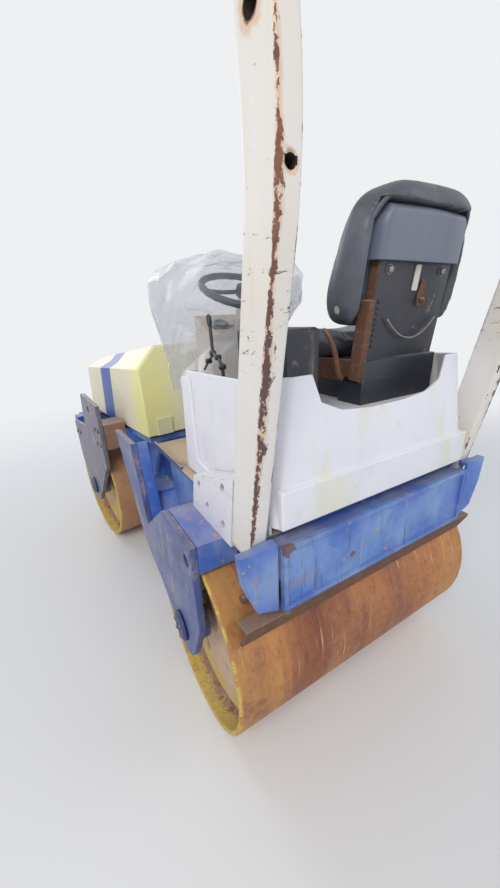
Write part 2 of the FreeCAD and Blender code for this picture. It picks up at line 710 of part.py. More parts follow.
def rops_post():
    """Left post: a bent rectangular tube, closed at both ends, with two round holes."""
    path = [POST_FOOT, POST_BEND, POST_TOP]
    y0, y1 = POST_Y0, POST_Y0 + POST_WIDTH
    outer = prism_xz(strip_outline(path, POST_DEPTH / 2), y0, y1)
    (xa, za), (xb, zb), (xc, zc) = path
    inner_path = [(xa, za + POST_WALL), (xb, zb), (xc, zc - POST_WALL)]
    inner = prism_xz(strip_outline(inner_path, POST_DEPTH / 2 - POST_WALL),
                     y0 + POST_WALL, y1 - POST_WALL)
    side_x = xb + (xc - xb) * POST_SIDE_HOLE_RISE / (zc - zb)
    side_hole = bar_y(side_x, zb + POST_SIDE_HOLE_RISE, POST_SIDE_HOLE_R,
                      y1 - POST_WALL - OVERCUT, y1 + OVERCUT, SIDES_BAR)
    back = V(xb - POST_DEPTH, (y0 + y1) / 2, zb - POST_BACK_HOLE_DROP)
    back_hole = bar(back, back + V(POST_DEPTH, 0, 0), POST_BACK_HOLE_R, SIDES_BAR)
    return cut(outer.cut(inner), [side_hole, back_hole])


def rops_crossbar():
    """Square tube across the tops of the posts."""
    x, z = POST_TOP
    y = POST_Y0 + POST_WIDTH
    t = CROSS_WALL
    outer = box(x - CROSS_W / 2, x + CROSS_W / 2, -y, y, z, z + CROSS_H)
    inner = box(x - CROSS_W / 2 + t, x + CROSS_W / 2 - t, -y + t, y - t, z + t,
                z + CROSS_H - t)
    return outer.cut(inner)


def rops_feet():
    """Foot of each post: a slotted plate that stands on the mudguard ahead of the post, a
    plate inside the post that stands on the floor, and the shelf that joins their tops."""
    x = POST_FOOT[0]
    y0, y1 = POST_Y0 - FOOT_T, POST_Y0 + POST_WIDTH

    def top(dx):
        return (x + dx, FLOOR_Z + FOOT_CORNER[1] + (FOOT_CORNER[0] - dx) * FOOT_RISE)

    (back_dx, back_dz), back_top = FOOT_OUTER_BACK
    front, foot = top(FOOT_CORNER[0]), DECK_Z + SEAT_GAP
    outer = prism_xz([front, (x + FOOT_NOSE, foot), (x + back_dx, foot),
                      (x + back_dx, FLOOR_Z + back_dz), top(back_top)], y1 - FOOT_T, y1)
    inner = prism_xz([front, (front[0], FLOOR_Z), (x + FOOT_INNER_BACK[0], FLOOR_Z),
                      top(FOOT_INNER_BACK[1])], y0, POST_Y0)
    edge = [front, top(back_top)]
    shelf = prism_xz(edge + [(px, pz - FOOT_SHELF_T) for px, pz in reversed(edge)], y0, y1)
    slots = []
    for dx, dz in FOOT_SLOTS:
        r, end = FOOT_SLOT_R, FOOT_SLOT_LEN / 2
        slot = prism_xz([(end, -r / 2), (end, r / 2), (end - r / 2, r), (r / 2 - end, r),
                         (-end, r / 2), (-end, -r / 2), (r / 2 - end, -r),
                         (end - r / 2, -r)], y1 - FOOT_T, y1)
        slot.rotate(V(0, 0, 0), V(0, 1, 0), 90 - FOOT_SLOT_TURN)
        slot.translate(V(x + dx, 0, FLOOR_Z + dz))
        slots.append(slot)
    return both(cut(fuse([outer, inner, shelf]), slots))


def tilted(shape):
    """Lean a piece of the chair's back about the lower edge of the back."""
    turned = shape.copy()
    turned.rotate(V(BACK_X, 0, BACK_Z0), V(0, 1, 0), -BACK_LEAN)
    return turned


def chair_cushion():
    """Padded slab with all its upright and upper edges bevelled."""
    slab = box(CUSHION_X0, CUSHION_X0 + CUSHION_LEN, CHAIR_Y - CHAIR_HALF,
               CHAIR_Y + CHAIR_HALF, CUSHION_Z0, CUSHION_Z0 + CUSHION_T)
    edges = [edge for edge in slab.Edges if edge.BoundBox.ZMax > CUSHION_Z0 + OVERCUT]
    return slab.makeChamfer(CUSHION_EDGE, edges)


def chair_back():
    """Padded back with rounded upper corners and side bolsters, hollow behind for the
    steel frame and its cover."""
    slab = box(BACK_X, BACK_X + BACK_T, CHAIR_Y - CHAIR_HALF, CHAIR_Y + CHAIR_HALF,
               CUSHION_Z0 + CUSHION_T, BACK_Z0 + BACK_H)
    corners = [edge for edge in slab.Edges
               if edge.BoundBox.ZMin > BACK_Z0 + BACK_H - OVERCUT
               and edge.BoundBox.XLength > BACK_T / 2]
    slab = slab.makeFillet(BACK_ROUND, corners)
    reach = COVER_HALF + COVER_GAP
    pocket = box(BACK_X - OVERCUT, BACK_X + BACK_POCKET, CHAIR_Y - reach, CHAIR_Y + reach,
                 CUSHION_Z0, COVER_Z1 + COVER_GAP)
    return tilted(slab.cut(pocket))


def chair_cover():
    """Hard shell behind the upper back: a plate with cheeks and a top that wrap forwards."""
    x0, x1 = BACK_X - COVER_BACK, BACK_X + COVER_WRAP
    whole = box(x0, x1, CHAIR_Y - COVER_HALF, CHAIR_Y + COVER_HALF, COVER_Z0, COVER_Z1)
    upright = [edge for edge in whole.Edges
               if edge.BoundBox.XMax < x0 + OVERCUT
               and edge.BoundBox.ZMax > COVER_Z0 + OVERCUT]
    whole = whole.makeChamfer(COVER_CHEEK, upright)
    hollow = box(x0 + COVER_T, x1, CHAIR_Y - COVER_HALF + COVER_CHEEK,
                 CHAIR_Y + COVER_HALF - COVER_CHEEK, COVER_Z0, COVER_Z1 - COVER_CHEEK)
    return tilted(whole.cut(hollow))


def chair_frame():
    """Back plate, pan under the cushion, side bracket and two rails on the deck."""
    plate = tilted(box(BACK_X, BACK_X + FRAME_T, CHAIR_Y - FRAME_HALF, CHAIR_Y + FRAME_HALF,
                       PAN_Z0 + BACK_LEAN, COVER_Z1 - COVER_CHEEK - FRAME_TOP_GAP))
    half = FRAME_HALF + CUSHION_EDGE / 2
    pan = box(BACK_X - COVER_GAP, CUSHION_X0 + CUSHION_LEN - PAN_FRONT_GAP, CHAIR_Y - half,
              CHAIR_Y + half, PAN_Z0, CUSHION_Z0)
    parts = [plate, pan]
    for y in (CHAIR_Y - RAIL_SPREAD, CHAIR_Y + RAIL_SPREAD):
        parts.append(box(BACK_X + FRAME_T, CUSHION_X0 + CUSHION_LEN - RAIL_FRONT_GAP,
                         y - RAIL_HALF, y + RAIL_HALF, TUB_DECK_Z, PAN_Z0))
    bracket = box(BACK_X - COVER_GAP, BACK_X + FRAME_T, CHAIR_Y + FRAME_HALF,
                  CHAIR_Y + FRAME_HALF + SIDE_BRACKET_W, PAN_Z0 + BACK_LEAN,
                  PAN_Z0 + SIDE_BRACKET_H)
    return fuse(parts + [tilted(bracket)])


def lever_console():
    """Box beside the chair with a travel lever standing in it."""
    x0, x1 = LEVER_BOX_X
    y0, y1 = LEVER_BOX_Y
    top = TUB_DECK_Z + LEVER_BOX_H
    body = box(x0, x1, y0, y1, TUB_DECK_Z, top)
    edges = [edge for edge in body.Edges if edge.BoundBox.ZMin > top - OVERCUT]
    body = body.makeChamfer(STICK_R, edges)
    foot = V((x0 + x1) / 2, (y0 + y1) / 2, top - STICK_R)
    tip = foot + V(0, 0, STICK_H)
    knob = folded([ring(tip, V(0, 0, 1), KNOB_R / 2, SIDES_BAR),
                   ring(tip + V(0, 0, KNOB_H), V(0, 0, 1), KNOB_R, SIDES_BAR)])
    return fuse([body, bar(foot, tip, STICK_R, SIDES_PIPE), knob])


def hand_lever():
    """Parking lever that stands on the deck beside the white body's left wall."""
    x, y = HAND_LEVER_X, HAND_LEVER_Y
    length, width, height = HAND_LEVER_BASE
    base = box(x - length / 2, x + length / 2, y - width / 2, y + width / 2, TUB_DECK_Z,
               TUB_DECK_Z + height)
    foot = V(x, y, TUB_DECK_Z + height - STICK_R)
    reach, rise = HAND_LEVER_REACH
    return fuse([base, bar(foot, foot + V(reach, 0, rise), STICK_R, SIDES_PIPE)])


def wheel_axis():
    """Direction in which the steering column rises towards the operator."""
    tilt = math.radians(WHEEL_TILT)
    return V(-math.sin(tilt), 0, math.cos(tilt))


def steering_console():
    """Hollow pedestal with a sloping top and the steering column on it."""
    y0, y1 = CONSOLE_Y - CONSOLE_HALF, CONSOLE_Y + CONSOLE_HALF
    knee = FLOOR_Z + CONSOLE_KNEE

    def profile(t):
        foot = CONSOLE_X0 + CONSOLE_TOE + t
        return [(foot, FLOOR_Z), (CONSOLE_X1 - t, FLOOR_Z),
                (CONSOLE_X1 - t, CONSOLE_TOP - 1.5 * t),
                (CONSOLE_X0 + t, CONSOLE_TOP - CONSOLE_SLOPE - t), (CONSOLE_X0 + t, knee)]

    shell = prism_xz(profile(0), y0, y1)
    shell = shell.cut(prism_xz(profile(CONSOLE_T), y0 + CONSOLE_T, y1 - CONSOLE_T))
    axis = wheel_axis()
    column = bar(WHEEL_CENTRE - axis * COLUMN_LEN, WHEEL_CENTRE - axis * (WHEEL_HUB_H / 2),
                 COLUMN_R, SIDES_BAR)
    return fuse([shell, column])


def steering_wheel():
    """Rim of straight six-sided lengths, three spokes and hub, tilted to the operator."""
    middle = WHEEL_R - WHEEL_RIM_R
    turns = [2 * math.pi * i / SIDES_LARGE for i in range(SIDES_LARGE)]
    corners = [2 * math.pi * (i + 0.5) / WHEEL_SECTION for i in range(WHEEL_SECTION)]
    loops = [[V(math.cos(t), math.sin(t), 0) * (middle + WHEEL_RIM_R * math.cos(a))
              + V(0, 0, WHEEL_RIM_R * math.sin(a)) for a in corners] for t in turns]
    faces = []
    for here, there in zip(loops, loops[1:] + loops[:1]):
        for i in range(WHEEL_SECTION):
            j = (i + 1) % WHEEL_SECTION
            faces.append(flat_face([here[i], here[j], there[j], there[i]]))
    rim = Part.Solid(Part.Shell(faces))
    if rim.Volume < 0:
        rim.reverse()
    hub = bar_z(0, 0, WHEEL_HUB_R, -WHEEL_HUB_H / 2, WHEEL_HUB_H / 2, SIDES_BAR)
    spokes = []
    for i in range(3):
        angle = math.radians(90 + 120 * i)
        end = V(math.cos(angle), math.sin(angle), 0) * middle
        spokes.append(bar(V(0, 0, 0), end, WHEEL_SPOKE_R, WHEEL_SECTION))
    whole = fuse([rim, hub] + spokes)
    whole.rotate(V(0, 0, 0), V(0, 1, 0), -WHEEL_TILT)
    whole.translate(WHEEL_CENTRE)
    return whole


def dust_sheet():
    """Thin hollow cover with flat sides over the wheel and the console."""
    def level(row, inset, drop):
        rise, depth, right, left, cut_right, cut_left = row
        x1 = SHEET_FRONT - inset
        x0 = SHEET_FRONT - depth + inset
        y0, y1, z = right + inset, left - inset, FLOOR_Z + rise - drop
        return [V(x0 + cut_right, y0, z), V(x1 - cut_right, y0, z), V(x1, y0 + cut_right, z),
                V(x1, y1 - cut_left, z), V(x1 - cut_left, y1, z), V(x0 + cut_left, y1, z),
                V(x0, y1 - cut_left, z), V(x0, y0 + cut_right, z)]

    last = len(SHEET_ROWS) - 1
    outer = folded([level(row, 0, 0) for row in SHEET_ROWS])
    drops = [SHEET_T if i in (0, last) else 0 for i in range(last + 1)]
    inner = folded([level(row, SHEET_T, drop) for row, drop in zip(SHEET_ROWS, drops)])
    return outer.cut(inner)


def pivot_link():
    """Block that turns on the steering pin, with the steering lug and, ahead, the shaft
    on which the front half can rock."""
    z0 = YOKE_Z[0] + YOKE_T + LINK_GAP
    z1 = YOKE_Z[1] - LINK_GAP
    x, y = ARM_EYE
    core = bar_z(0, 0, LINK_HALF, z0, z1, SIDES_LARGE)
    neck = box(0, LINK_NECK_X, -LINK_NECK, LINK_NECK, OSC_Z - LINK_NECK, OSC_Z + LINK_NECK)
    shaft = rod(V(LINK_NECK_X, 0, OSC_Z), V(OSC_END, 0, OSC_Z), OSC_R)
    collar = bar(V(OSC_END, 0, OSC_Z), V(OSC_END + OSC_COLLAR, 0, OSC_Z), OSC_R + OSC_COLLAR,
                 SIDES_BAR)
    lug = prism_xy([(-EYE_R, 0), (x - EYE_R, y), (x + EYE_R, y), (LINK_NECK, 0)],
                   ARM_PLATE_Z, ARM_PLATE_Z + ARM_PLATE_T)
    tip = bar_z(x, y, EYE_R, ARM_PLATE_Z, ARM_PLATE_Z + ARM_PLATE_T, SIDES_BAR)
    whole = fuse([core, neck, shaft, collar, lug, tip])
    eye_hole = rod_z(x, y, EYE_PIN_R + PIN_GAP, ARM_PLATE_Z, ARM_PLATE_Z + ARM_PLATE_T)
    return cut(whole, [rod_z(0, 0, PIN_R + PIN_GAP, z0, z1), eye_hole])


def pivot_pin():
    """Steering pin, which stands out below the lower yoke and has a head above."""
    top = YOKE_Z[1] + YOKE_T
    pin = rod_z(0, 0, PIN_R, YOKE_Z[0] - PIN_HEAD_H, top)
    return fuse([pin, bar_z(0, 0, PIN_R + PIN_HEAD, top, top + PIN_HEAD_H, SIDES_BAR)])


def steering_cylinder():
    """Barrel on the rear frame and rod over the link's lug, drawn along the parked line.
    The rod's eye keeps its pin's head; the pin's tail through the lug is left out."""
    angle = math.radians(PARKED_STEER)
    base = V(CYL_BASE[0], CYL_BASE[1], OSC_Z)
    x, y = ARM_EYE
    eye = V(x * math.cos(angle) - y * math.sin(angle),
            x * math.sin(angle) + y * math.cos(angle), OSC_Z)
    line = (eye - base).normalize()
    half = CYL_R + EAR_GAP - PIN_GAP
    base_eye = bar_z(base.x, base.y, EYE_R, OSC_Z - half, OSC_Z + half, SIDES_BAR)
    neck = bar(base, base + line * BARREL_BACK, EYE_R - PIN_GAP, SIDES_BAR)
    body = bar(base + line * (EYE_R + EAR_GAP), base + line * BARREL_LEN, CYL_R, SIDES_BAR)
    bore = rod(base + line * BARREL_BACK, base + line * (BARREL_LEN + OVERCUT),
               ROD_R + PIN_GAP)
    hole = rod_z(base.x, base.y, EYE_PIN_R + PIN_GAP, OSC_Z - half, OSC_Z + half)
    barrel = cut(fuse([base_eye, neck, body]), [bore, hole])
    z0, z1 = ROD_EYE_Z
    rod_eye = bar_z(eye.x, eye.y, EYE_R, z0, z1, SIDES_BAR)
    head = bar_z(eye.x, eye.y, EYE_PIN_R, z1, z1 + EYE_PIN_R, SIDES_BAR)
    stem = bar(base + line * (BARREL_LEN - ROD_IN), eye, ROD_R, SIDES_BAR)
    return barrel, fuse([rod_eye, head, stem])


def front_chassis():
    """Top plate over the drum, back plate with the rocking bearing, and outriggers."""
    far = BACK_PLATE_X0 + BACK_PLATE_T
    parts = [
        box(TOP_X0, TOP_X1, -TOP_Y, TOP_Y, TOP_Z0, TOP_Z1),
        box(BACK_PLATE_X0, far, -BACK_PLATE_Y, BACK_PLATE_Y, BACK_PLATE_Z0, TOP_Z1),
        bar(V(HOUSING_X0, 0, OSC_Z), V(BACK_PLATE_X0, 0, OSC_Z), HOUSING_R, SIDES_LARGE),
    ]
    for x0, x1, z0, z1 in (REAR_OUTRIGGER, FRONT_OUTRIGGER):
        parts.append(box(x0, x1, -ARM_Y0, ARM_Y0, z0, min(z1, TOP_Z1)))
        if z1 > TOP_Z1:
            end = box(x0, x1, HOOD_Y + OUTRIGGER_GAP, ARM_Y0, z0, z1)
            parts += [end, mirrored(end)]
    for side in (1, -1):
        y0, y1 = side_range(side, BACK_PLATE_Y - BACK_PLATE_T, BACK_PLATE_Y)
        gusset = [(TOP_X0 + GUSSET_GAP, TOP_Z0), (BACK_PLATE_X0, TOP_Z0), (BACK_PLATE_X0, OSC_Z)]
        parts.append(prism_xz(gusset, y0, y1))
    bore = rod(V(HOUSING_X0, 0, OSC_Z), V(far, 0, OSC_Z), OSC_R + PIN_GAP)
    recess = bar(V(OSC_END - EAR_GAP, 0, OSC_Z), V(far, 0, OSC_Z),
                 OSC_R + OSC_COLLAR + RECESS_GAP, SIDES_LARGE)
    return cut(fuse(parts), [bore, recess])


def front_panel():
    """Plate across the front with a folded top and the hinge barrels of the hood."""
    x0 = FRONT_PANEL_X0
    y1, z1 = FRONT_PANEL_Y, FRONT_PANEL_Z1
    face = box(x0, x0 + FRONT_PANEL_T, -y1, y1, FRONT_PANEL_Z0, z1)
    shelf = box(TOP_X1, x0, -y1, y1, z1 - FRONT_PANEL_T, z1)
    parts = [face, shelf]
    inner = HINGE_HALF + HINGE_SIDE_GAP
    outer = inner + HINGE_LUG_T
    for y in (-HINGE_Y, HINGE_Y):
        for y0 in (y - outer, y + inner):
            parts.append(box(HINGE_X - HINGE_LUG_R, HINGE_X + HINGE_LUG_R, y0,
                             y0 + HINGE_LUG_T, z1 - HINGE_SINK, HINGE_Z))
            parts.append(bar_y(HINGE_X, HINGE_Z, HINGE_LUG_R, y0, y0 + HINGE_LUG_T,
                               SIDES_BAR))
        parts.append(bar_y(HINGE_X, HINGE_Z, HINGE_R - PIN_GAP, y - outer, y + outer,
                           SIDES_BAR))
    return fuse(parts)


def engine_block():
    """Plain block for the engine, which stands on the top plate under the hood."""
    block = box(*ENGINE_X, -ENGINE_HALF, ENGINE_HALF, TOP_Z1, TOP_Z1 + ENGINE_H)
    edges = [edge for edge in block.Edges if edge.BoundBox.ZMin > TOP_Z1 + OVERCUT]
    return block.makeChamfer(SHELL_T, edges)


def hood_ring(end, inset):
    """Six corners of the hood's section at its rear (0) or front (1) end."""
    x = (HOOD_X0 + inset, HOOD_X1 - inset)[end]
    low = HOOD_Z0 - (OVERCUT if inset else 0)
    belt = HOOD_Z0 + HOOD_BELT_H[end] - inset / 2
    top = HOOD_Z0 + HOOD_RIDGE_H[end] - inset
    lean = HOOD_RAKE[end] * (belt - low) / (top - low)
    half = [V(x, HOOD_Y - inset, low), V(x + lean, HOOD_Y - inset, belt),
            V(x + HOOD_RAKE[end], HOOD_RIDGE_Y - inset / 2, top)]
    return half + [V(p.x, -p.y, p.z) for p in reversed(half)]


def hood_shell():
    """Faceted cover over the engine, open below, with two hinge tongues in front."""
    outer = folded([hood_ring(0, 0), hood_ring(1, 0)])
    shell = outer.cut(folded([hood_ring(0, HOOD_T), hood_ring(1, HOOD_T)]))
    z1 = HOOD_Z0 + HOOD_LIP_H
    w = HOOD_LIP_W
    lip = box(HOOD_X0, HOOD_X1, -HOOD_Y, HOOD_Y, HOOD_Z0, z1)
    lip = lip.cut(box(HOOD_X0 + w, HOOD_X1 - w, -HOOD_Y + w, HOOD_Y - w, HOOD_Z0, z1))
    parts = [shell, lip.common(outer)]
    for y in (-HINGE_Y, HINGE_Y):
        parts.append(bar_y(HINGE_X, HINGE_Z, HINGE_RING, y - HINGE_HALF, y + HINGE_HALF,
                           SIDES_BAR))
        parts.append(box(HOOD_X1 - w, HINGE_X, y - HINGE_HALF, y + HINGE_HALF, HOOD_Z0,
                         HINGE_Z + 2 * HINGE_RING))
    return fuse(parts).cut(rod_y(HINGE_X, HINGE_Z, HINGE_R, -HOOD_Y, HOOD_Y))


def hood_handle():
    """Pale latch plate at the hood's rear left corner."""
    t, width, height = HOOD_HANDLE
    z0 = HOOD_Z0 + HOOD_HANDLE_RISE
    return box(HOOD_X0 - t, HOOD_X0, HOOD_HANDLE_Y, HOOD_HANDLE_Y + width, z0, z0 + height)


def rear_half():
    post = rops_post()
    barrel, piston_rod = steering_cylinder()
    return {
        "rear_chassis": rear_chassis(),
        "rear_platform": rear_platform(),
        "rear_panel": rear_panel(),
        "rear_corners": rear_corners(),
        "rear_scraper": scraper(-AXLE_X, -1, PANEL_X + PANEL_T + EAR_GAP, RAIL_Z0),
        "rear_spray_bar": spray_bar(-AXLE_X, -1, CROSS_Z0),
        "tub": tub(),
        "rops_post_left": post,
        "rops_post_right": mirrored(post),
        "rops_crossbar": rops_crossbar(),
        "rops_feet": rops_feet(),
        "chair_cushion": chair_cushion(),
        "chair_back": chair_back(),
        "chair_cover": chair_cover(),
        "chair_frame": chair_frame(),
        "lever_console": lever_console(),
        "hand_lever": hand_lever(),
        "steering_console": steering_console(),
        "steering_wheel": steering_wheel(),
        "dust_sheet": dust_sheet(),
        "pivot_pin": pivot_pin(),
        "steer_barrel": barrel,
        "steer_rod": piston_rod,
    }


def front_half():
    panel_shelf = FRONT_PANEL_Z1 - FRONT_PANEL_T
    return {
        "pivot_link": pivot_link(),
        "front_chassis": front_chassis(),
        "front_panel": front_panel(),
        "front_scraper": scraper(AXLE_X, 1, TOP_X1 + SCRAPER_T, panel_shelf),
        "front_spray_bar": spray_bar(AXLE_X, 1, FRONT_OUTRIGGER[2]),
        "engine_block": engine_block(),
        "hood_shell": hood_shell(),
        "hood_handle": hood_handle(),
    }


def running_gear(name, axle_x, outline, eye):
    shell, ends = drum(axle_x)
    left = arm(outline, axle_x, eye)
    return {
        name + "_drum_shell": shell,
        name + "_drum_ends": ends,
        name + "_arm_left": left,
        name + "_arm_right": mirrored(left),
        name + "_hub_caps": hub_caps(axle_x),
    }


def build():
    pieces = rear_half()
    pieces.update(running_gear("rear", -AXLE_X, REAR_ARM, EYE_REAR))
    front = front_half()
    front.update(running_gear("front", AXLE_X, FRONT_ARM, EYE_FRONT))
    for name, shape in front.items():
        pieces[name] = parked(shape)
    middle = Part.makeCompound(list(pieces.values())).optimalBoundingBox(False).Center
    for name, shape in pieces.items():
        shape.translate(V(-middle.x, -middle.y, 0))
        shape.exportStep("parts/" + name + ".step")


build()
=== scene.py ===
import json
import math
from types import SimpleNamespace

import bmesh
import bpy
import numpy as np
from bpy.props import FloatProperty, FloatVectorProperty, IntProperty, PointerProperty
from bpy.types import Operator, Panel, PropertyGroup
from mathutils import Matrix, Vector

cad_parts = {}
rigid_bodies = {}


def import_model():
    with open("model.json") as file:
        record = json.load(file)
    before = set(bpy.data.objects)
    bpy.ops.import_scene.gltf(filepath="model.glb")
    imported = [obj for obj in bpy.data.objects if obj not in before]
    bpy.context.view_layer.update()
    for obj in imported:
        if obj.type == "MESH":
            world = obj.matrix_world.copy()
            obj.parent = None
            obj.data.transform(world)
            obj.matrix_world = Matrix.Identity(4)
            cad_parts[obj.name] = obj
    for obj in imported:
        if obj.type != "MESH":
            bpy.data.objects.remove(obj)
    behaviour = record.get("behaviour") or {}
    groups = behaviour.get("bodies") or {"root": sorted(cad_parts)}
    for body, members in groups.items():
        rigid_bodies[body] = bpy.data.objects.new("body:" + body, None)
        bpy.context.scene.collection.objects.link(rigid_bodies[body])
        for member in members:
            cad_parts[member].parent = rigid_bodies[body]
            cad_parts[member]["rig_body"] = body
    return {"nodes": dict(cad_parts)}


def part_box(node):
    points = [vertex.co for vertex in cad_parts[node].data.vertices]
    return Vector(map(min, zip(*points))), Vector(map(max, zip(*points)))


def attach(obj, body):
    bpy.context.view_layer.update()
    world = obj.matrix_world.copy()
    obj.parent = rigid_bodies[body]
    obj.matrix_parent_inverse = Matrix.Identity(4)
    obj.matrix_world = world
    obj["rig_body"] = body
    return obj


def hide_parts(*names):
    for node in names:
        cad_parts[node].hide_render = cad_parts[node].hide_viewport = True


bl_info = {
    "name": "Tandem roller finishes",
    "version": (1, 0, 0),
    "blender": (4, 5, 0),
    "location": "3D Viewport > Sidebar > Roller",
    "description": "Dresses a packed tandem roller in worn paint, rust, vinyl and plastic",
    "category": "Add Mesh",
}

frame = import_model()

# The steering pin is where the plan of both halves is measured from. The front half is drawn
# straight ahead and stands turned about that pin.
PIN = (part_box("pivot_pin")[0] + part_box("pivot_pin")[1]) / 2
PARKED = math.radians(8)
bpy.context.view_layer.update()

# Places in metres: x forwards and y to the left of the steering pin, z above the ground
DRUM_R = 0.34
DRUM_HALF = 0.5
SHELL_T = 0.016
AXLE_X = 0.7
CAP_R = 0.05
CAP_FACE = 0.544
FLOOR = 0.8
OUTRIGGER_FROM = 0.39  # to the side, where the front outriggers begin
TUB_SIDE = 0.372
POST_Y = (0.391, 0.435)
POST_MIDDLE = sum(POST_Y) / 2
POST_LINE = ((-0.965, 0.76), (-1.103, 1.495), (-1.02, 2.33))
POST_DEPTH = 0.092
POST_HOLES = (((-1.087, 1.656), 0.017, "side"), ((-1.103, 1.48), 0.0095, "rear"))
SPLIT_WIDTHS = ((0.76, 0.012), (0.95, 0.019), (1.15, 0.026), (1.24, 0.028), (1.27, 0.019),
                (1.36, 0.015), (1.46, 0.019), (1.53, 0.012), (1.6, 0.014), (1.72, 0.008),
                (2.33, 0.012))
CHAIR_HALF = 0.218
BACK_FOOT = np.array([-0.905, -0.17, 1.185])
BACK_LEAN = math.radians(7)
WHEEL_AT = (-0.4, 0.06, 1.385)
WHEEL_R = 0.17
WHEEL_TILT = math.radians(24)

# The photograph's view: turn, downward pitch and roll, place, and lens as a focal length over
# the picture's height, both in pixels
VIEW_TURN = tuple(math.radians(angle) for angle in (-29.96, 20.14, 2.6))
VIEW_FROM = (-1.579, 0.747, 1.289)
VIEW_FOCUS, VIEW_HEIGHT = 342.2, 888
SENSOR = 36
BACKDROP = (0.86, 0.87, 0.89)
SKY, SKY_STRENGTH = (0.80, 0.86, 0.95), 0.52

# Bends between faces of a CAD node: below the first they are one flat face, and above the
# second their edge is rounded
FLAT = math.radians(1)
SHARP = math.radians(28)

CHANNEL = 0.006  # half width of a sewn channel in the pads


def srgb(red, green, blue):
    """A colour given as 0 to 255 on a screen, as the linear values that Blender stores."""
    parts = np.array([red, green, blue]) / 255
    low, high = parts / 12.92, ((parts + 0.055) / 1.055) ** 2.4
    return tuple(np.where(parts <= 0.04045, low, high).tolist())


def length(name, description, default):
    """A length for the panel."""
    return FloatProperty(name=name, description=description, default=default, min=0.0,
                         unit="LENGTH")


def colour(name, description, red, green, blue):
    """A colour for the panel."""
    return FloatVectorProperty(name=name, description=description, subtype="COLOR", size=3,
                               min=0.0, max=1.0, default=srgb(red, green, blue))


class RollerSizes(PropertyGroup):
    plate_edge: length("Plate edge", "Rounding of the edges of sawn and folded plate", 0.003)
    body_edge: length("Body edge", "Rounding of the white body's corners", 0.011)
    hood_edge: length("Hood edge", "Rounding of the hood's corners", 0.014)
    drum_edge: length("Drum edge", "Rounding of the drums' outer edges", 0.006)
    post_corner: length("Post corner", "Outer corner radius of the roll-over tube", 0.008)
    bolt_size: length("Bolt size", "Width across the corners of an ordinary bolt head", 0.022)
    pad_voxel: length("Pad voxel", "Grid on which the pads are remeshed", 0.006)
    pad_swell: length("Pad swell", "Furthest that a pad's cover may swell", 0.016)
    seam_depth: length("Seam depth", "Depth of a sewn channel in the pads", 0.005)
    piping: length("Piping", "Radius of the cord sewn into the pads' seams", 0.006)
    fold_depth: length("Fold depth", "Depth of the folds at the dust sheet's hem", 0.014)
    pad_frames: IntProperty(name="Pad frames", description="Steps of the pads' simulation",
                            default=20, min=2)


class RollerColours(PropertyGroup):
    blue: colour("Blue", "Paint of the frames and panels", 64, 104, 186)
    blue_faded: colour("Faded blue", "Chalky blue paint in the sun", 122, 148, 198)
    white: colour("White", "Paint of the body round the operator", 228, 228, 235)
    post: colour("Post white", "Paint of the roll-over frame", 224, 221, 219)
    cream: colour("Cream", "Paint of the hood", 228, 220, 192)
    hood_yellow: colour("Hood yellow", "Greenish yellow at the hood's rear edge", 234, 230, 158)
    rust: colour("Rust", "Dark rust where paint has gone", 104, 70, 56)
    drum_rust: colour("Drum rust", "Orange rust of the drums", 178, 116, 72)
    drum_dark: colour("Dark drum rust", "Brown bands round the drums", 136, 84, 66)
    drum_pale: colour("Pale drum streaks", "Dry streaks round the drums", 222, 178, 142)
    yellow: colour("Yellow", "Worn paint on the drums' ends", 206, 180, 88)
    dust: colour("Dust", "Pale brown dust on the drums' ends and ledges", 176, 152, 136)
    sand: colour("Sand", "Dry sand on the floor", 206, 186, 160)
    vinyl: colour("Vinyl", "Cover of the pads", 74, 78, 86)
    shell: colour("Back cover", "Hard cover behind the chair", 104, 110, 126)
    black: colour("Black", "Painted steel under the chair", 44, 47, 57)
    beige: colour("Beige", "Steering pedestal", 236, 226, 212)
    steel: colour("Steel", "Bare and plated steel", 150, 150, 148)
    grey: colour("Plate grey", "Grey-violet front side plates", 112, 110, 130)
    plastic: colour("Plastic", "Clear dust sheet", 184, 192, 204)
    floor: colour("Studio floor", "Plain pale floor", 232, 232, 232)


# Surfaces -------------------------------------------------------------------------------


def rear_place(points):
    """Points measured from the steering pin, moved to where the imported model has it."""
    moved = np.array(points, float)
    moved[..., 0] += PIN.x
    moved[..., 1] += PIN.y
    return moved


def front_place(points):
    """Points of the front half, drawn straight ahead, turned with it about the pin."""
    x, y, z = np.moveaxis(np.asarray(points, float), -1, 0)
    c, s = math.cos(PARKED), math.sin(PARKED)
    return rear_place(np.stack([c * x - s * y, s * x + c * y, z], -1))


def grid_faces(rows, columns, round_rows=False, round_columns=False):
    """Quads of a grid of points; a round direction joins its last line to its first."""
    i, j = np.meshgrid(np.arange(rows if round_rows else rows - 1),
                       np.arange(columns if round_columns else columns - 1), indexing="ij")
    below, right = (i + 1) % rows, (j + 1) % columns
    corners = [i * columns + j, i * columns + right, below * columns + right,
               below * columns + j]
    return np.stack(corners, -1).reshape(-1, 4)


def ring_skin(rings, capped=True):
    """Points and faces of a closed skin through rings of points. Each end is closed by a fan
    of triangles about the mean of its ring, or the last ring is joined to the first."""
    rows, columns = rings.shape[:2]
    points = rings.reshape(-1, 3)
    faces = grid_faces(rows, columns, not capped, True).tolist()
    if capped:
        points = np.vstack([points, rings[0].mean(0), rings[-1].mean(0)])
        near = np.arange(columns)
        far = (near + 1) % columns
        last = (rows - 1) * columns
        first_hub = np.full(columns, rows * columns)
        faces += np.stack([far, near, first_hub], -1).tolist()
        faces += np.stack([last + near, last + far, first_hub + 1], -1).tolist()
    return points, faces


